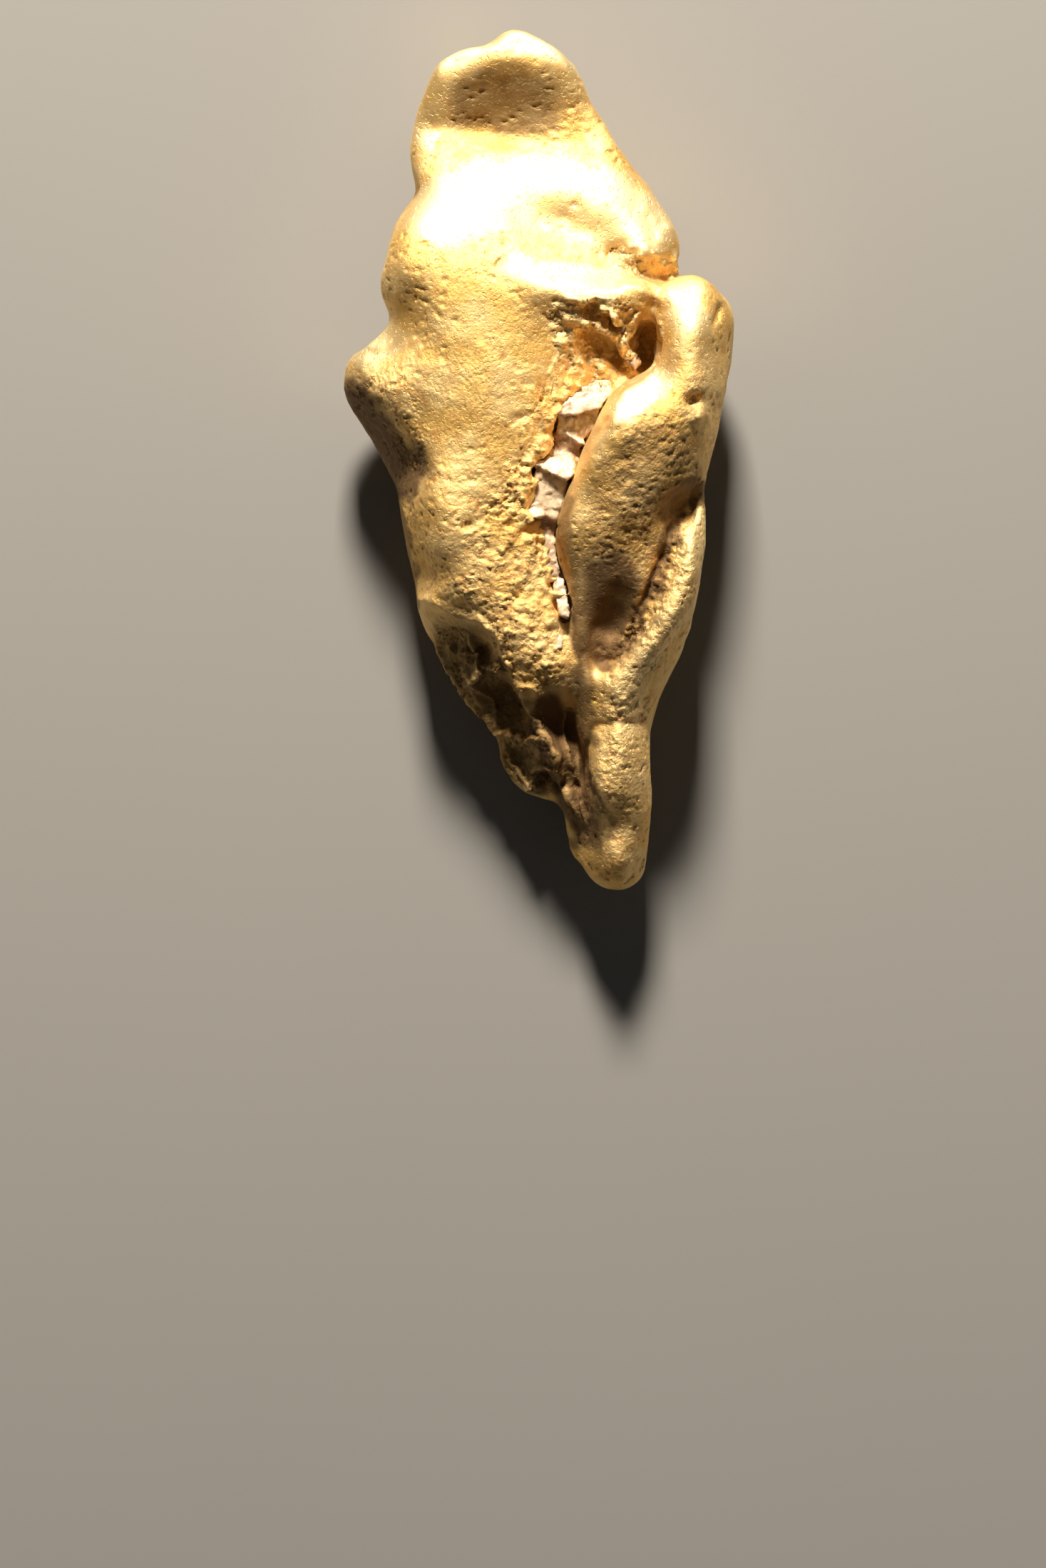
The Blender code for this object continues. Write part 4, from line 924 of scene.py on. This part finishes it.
    def scratches(self, surface):
        """Short scratches at random angles."""
        chance = np.random.default_rng(SCRATCH_SEED)
        height = np.zeros(len(surface.flat))
        for _name, count, half_width, points in SCRATCHED:
            path = smooth_path(points)
            for _mark in range(count):
                middle = path[chance.integers(len(path))] + chance.normal(0.0, half_width / 2.2, 2)
                turn = chance.uniform(*SCRATCH_TURN)
                half = (0.5 * chance.uniform(*SCRATCH_LENGTH)
                        * np.array([math.cos(turn), math.sin(turn)]))
                near = np.flatnonzero(np.abs(surface.flat - middle).max(axis=1) < SCRATCH_REACH)
                line = [tuple(middle - half), tuple(middle + half)]
                amount = chance.uniform(*SCRATCH_HEIGHT)
                height[near] += amount * stroke(surface.flat[near], "blade", SCRATCH_HALF_WIDTH,
                                                line)
        surface.push(height * surface.front)

    def stains(self, piece, surface, wear_and_highlight):
        """Finds the hollow and proud places, the tarnished and shaded places, and the places that
        wear smooth and get a painted highlight, for the material.
        """
        fine = depth_below(piece, surface, FINE_LEVEL) / FINE_DEPTH
        broad = depth_below(piece, surface, BROAD_LEVEL) / BROAD_DEPTH
        hollow = FINE_COUNTS * np.clip(fine, 0.0, 1.0) + BROAD_COUNTS * np.clip(broad, 0.0, 1.0)
        # The pale zones are painted light.
        pale = zone(surface, PALE)
        # Slopes that face the head face the lamp, and get more of the painted highlight.
        towards_lamp = np.clip(SIDEWAYS_HIGHLIGHT + LAMPWARD_HIGHLIGHT * surface.outward[:, 1], 0.0, 1.0)
        # The hollows carry iron staining and painted shade, less of it in the pale zones.
        surface.keep("hollow", hollow * (1.0 - PALE_LIGHTENS_HOLLOWS * pale))
        # The proud places get wear and a painted highlight.
        surface.keep("proud", np.clip(-fine, 0.0, 1.0))
        # Where darker brown is painted as shade, together with tarnishing.
        surface.keep("tarnish_and_shade", zone(surface, TARNISHED_AND_SHADED))
        # Wear and painted highlight: strongest on slopes that face the lamp, and in the pale zones.
        surface.keep("wear_and_highlight", np.maximum(wear_and_highlight * towards_lamp, PALE_ADDS_HIGHLIGHT * pale))


class NUGGET_OT_quartz(bpy.types.Operator):
    """Make the seam of broken quartz"""
    bl_idname = "nugget.quartz"
    bl_label = "Quartz seam"

    def execute(self, context):
        settings = context.scene.nugget
        piece = copy_of_node("quartz_vein", "quartz_crust")
        surface = Surface(piece.data)
        heights = surface.places[:, 2]
        sunk = SEAM_SINKING * (heights > heights.min() + SEAM_FOOT * MM)
        sideways = surface.outward * (1.0, 1.0, 0.0)
        move = SEAM_SWELLING * sideways - sunk[:, None] * STRAIGHT_UP
        surface.push(np.ones(len(heights)), move)
        shape = bmesh.new()
        shape.from_mesh(piece.data)
        for _name, height, to_head, to_right, corners in PLATES:
            self.plate(shape, height, to_head, to_right, corners)
        shape.to_mesh(piece.data)
        shape.free()
        remesh(piece, QUARTZ_VOXEL)
        surface = Surface(piece.data)
        self.break_up(surface)
        cracks = depth_below(piece, surface, QUARTZ_LEVEL) / QUARTZ_DEPTH - QUARTZ_START
        surface.keep("hollow", np.maximum(np.clip(cracks, 0.0, 1.0), zone(surface, STAINED)))
        use_material(piece, quartz_material(settings))
        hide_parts("quartz_vein")
        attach(piece, "root")
        return {"FINISHED"}

    def plate(self, shape, height, to_head, to_right, corners):
        """A slab with sharp bevelled edges and a leaning top."""
        middle = np.mean(corners, axis=0)
        rise = -math.tan(math.radians(to_head))
        lean = -math.tan(math.radians(to_right))
        top = [shape.verts.new(Vector((
            x, y, height + rise * (y - middle[1]) + lean * (x - middle[0]))) * MM)
            for x, y in corners]
        face = shape.faces.new(top)
        face.normal_update()
        if face.normal.z < 0.0:
            face.normal_flip()
        around = list(face.edges)
        made = bmesh.ops.extrude_face_region(shape, geom=[face], use_keep_orig=True)["geom"]
        for part in made:
            if isinstance(part, bmesh.types.BMVert):
                part.co.z = (height - PLATE_DEPTH) * MM
        bottom = [part for part in made if isinstance(part, bmesh.types.BMFace)]
        bmesh.ops.reverse_faces(shape, faces=bottom)
        bmesh.ops.bevel(shape, geom=around, offset=PLATE_BEVEL * MM, segments=1, profile=0.5,
                        affect="EDGES", material=-1)

    def break_up(self, surface):
        """Small broken facets and steps on every face."""
        facets = np.empty(len(surface.places))
        for index, place in enumerate(surface.places):
            height, lean, _edge = leaning_cell(
                Vector(place) / (FACET_SIZE * MM), bend=0.3, bend_scale=1.3)
            facets[index] = height + lean
        steps = noise_at(surface.places, STEP_SIZE, layer=8, octaves=2)
        surface.push(FACET_HEIGHT * facets + STEP_HEIGHT * steps)


class NUGGET_OT_stage(bpy.types.Operator):
    """Make the studio floor, the lights and the camera"""
    bl_idname = "nugget.stage"
    bl_label = "Studio"

    def execute(self, context):
        settings = context.scene.nugget
        mesh = bpy.data.meshes.new("studio_floor")
        shape = bmesh.new()
        bmesh.ops.create_circle(shape, cap_ends=True, segments=96, radius=FLOOR_RADIUS)
        shape.to_mesh(mesh)
        shape.free()
        floor = bpy.data.objects.new("studio_floor", mesh)
        context.scene.collection.objects.link(floor)
        mesh.materials.append(floor_material(settings))

        light = bpy.data.lights.new("key", "AREA")
        light.size = KEY_SIZE
        light.energy = KEY_POWER
        light.color = KEY_COLOUR
        lamp = bpy.data.objects.new("key", light)
        lamp.location = KEY_PLACE
        lamp.rotation_euler = (-KEY_PLACE).to_track_quat("-Z", "Y").to_euler()
        context.scene.collection.objects.link(lamp)

        world = bpy.data.worlds.new("studio")
        world.use_nodes = True
        room = world.node_tree.nodes["Background"].inputs
        room["Color"].default_value = ROOM_COLOUR
        room["Strength"].default_value = ROOM_STRENGTH
        context.scene.world = world
        context.scene.view_settings.view_transform = "Standard"

        lens = bpy.data.cameras.new("camera")
        lens.lens = LENS_LENGTH
        lens.sensor_width = SENSOR_WIDTH
        lens.clip_start = CLIP_START
        camera = bpy.data.objects.new("camera", lens)
        camera.location = CAMERA_PLACE
        context.scene.collection.objects.link(camera)
        context.scene.camera = camera
        return {"FINISHED"}


class NUGGET_PT_panel(bpy.types.Panel):
    """Shows the nugget's settings and the buttons that make its pieces."""
    bl_label = "Gold nugget"
    bl_idname = "NUGGET_PT_panel"
    bl_space_type = "VIEW_3D"
    bl_region_type = "UI"
    bl_category = "Nugget"

    def draw(self, context):
        for name in NuggetSettings.__annotations__:
            self.layout.prop(context.scene.nugget, name)
        for operator in OPERATORS:
            self.layout.operator(operator.bl_idname)


OPERATORS = (NUGGET_OT_quartz, NUGGET_OT_gold, NUGGET_OT_stage)
CLASSES = (NuggetSettings, *OPERATORS, NUGGET_PT_panel)


def register():
    for cls in CLASSES:
        bpy.utils.register_class(cls)
    bpy.types.Scene.nugget = bpy.props.PointerProperty(type=NuggetSettings)


def unregister():
    del bpy.types.Scene.nugget
    for cls in reversed(CLASSES):
        bpy.utils.unregister_class(cls)


def main():
    """Makes everything."""
    register()
    bpy.ops.nugget.quartz()
    bpy.ops.nugget.gold()
    bpy.ops.nugget.stage()


if __name__ == "__main__":
    main()
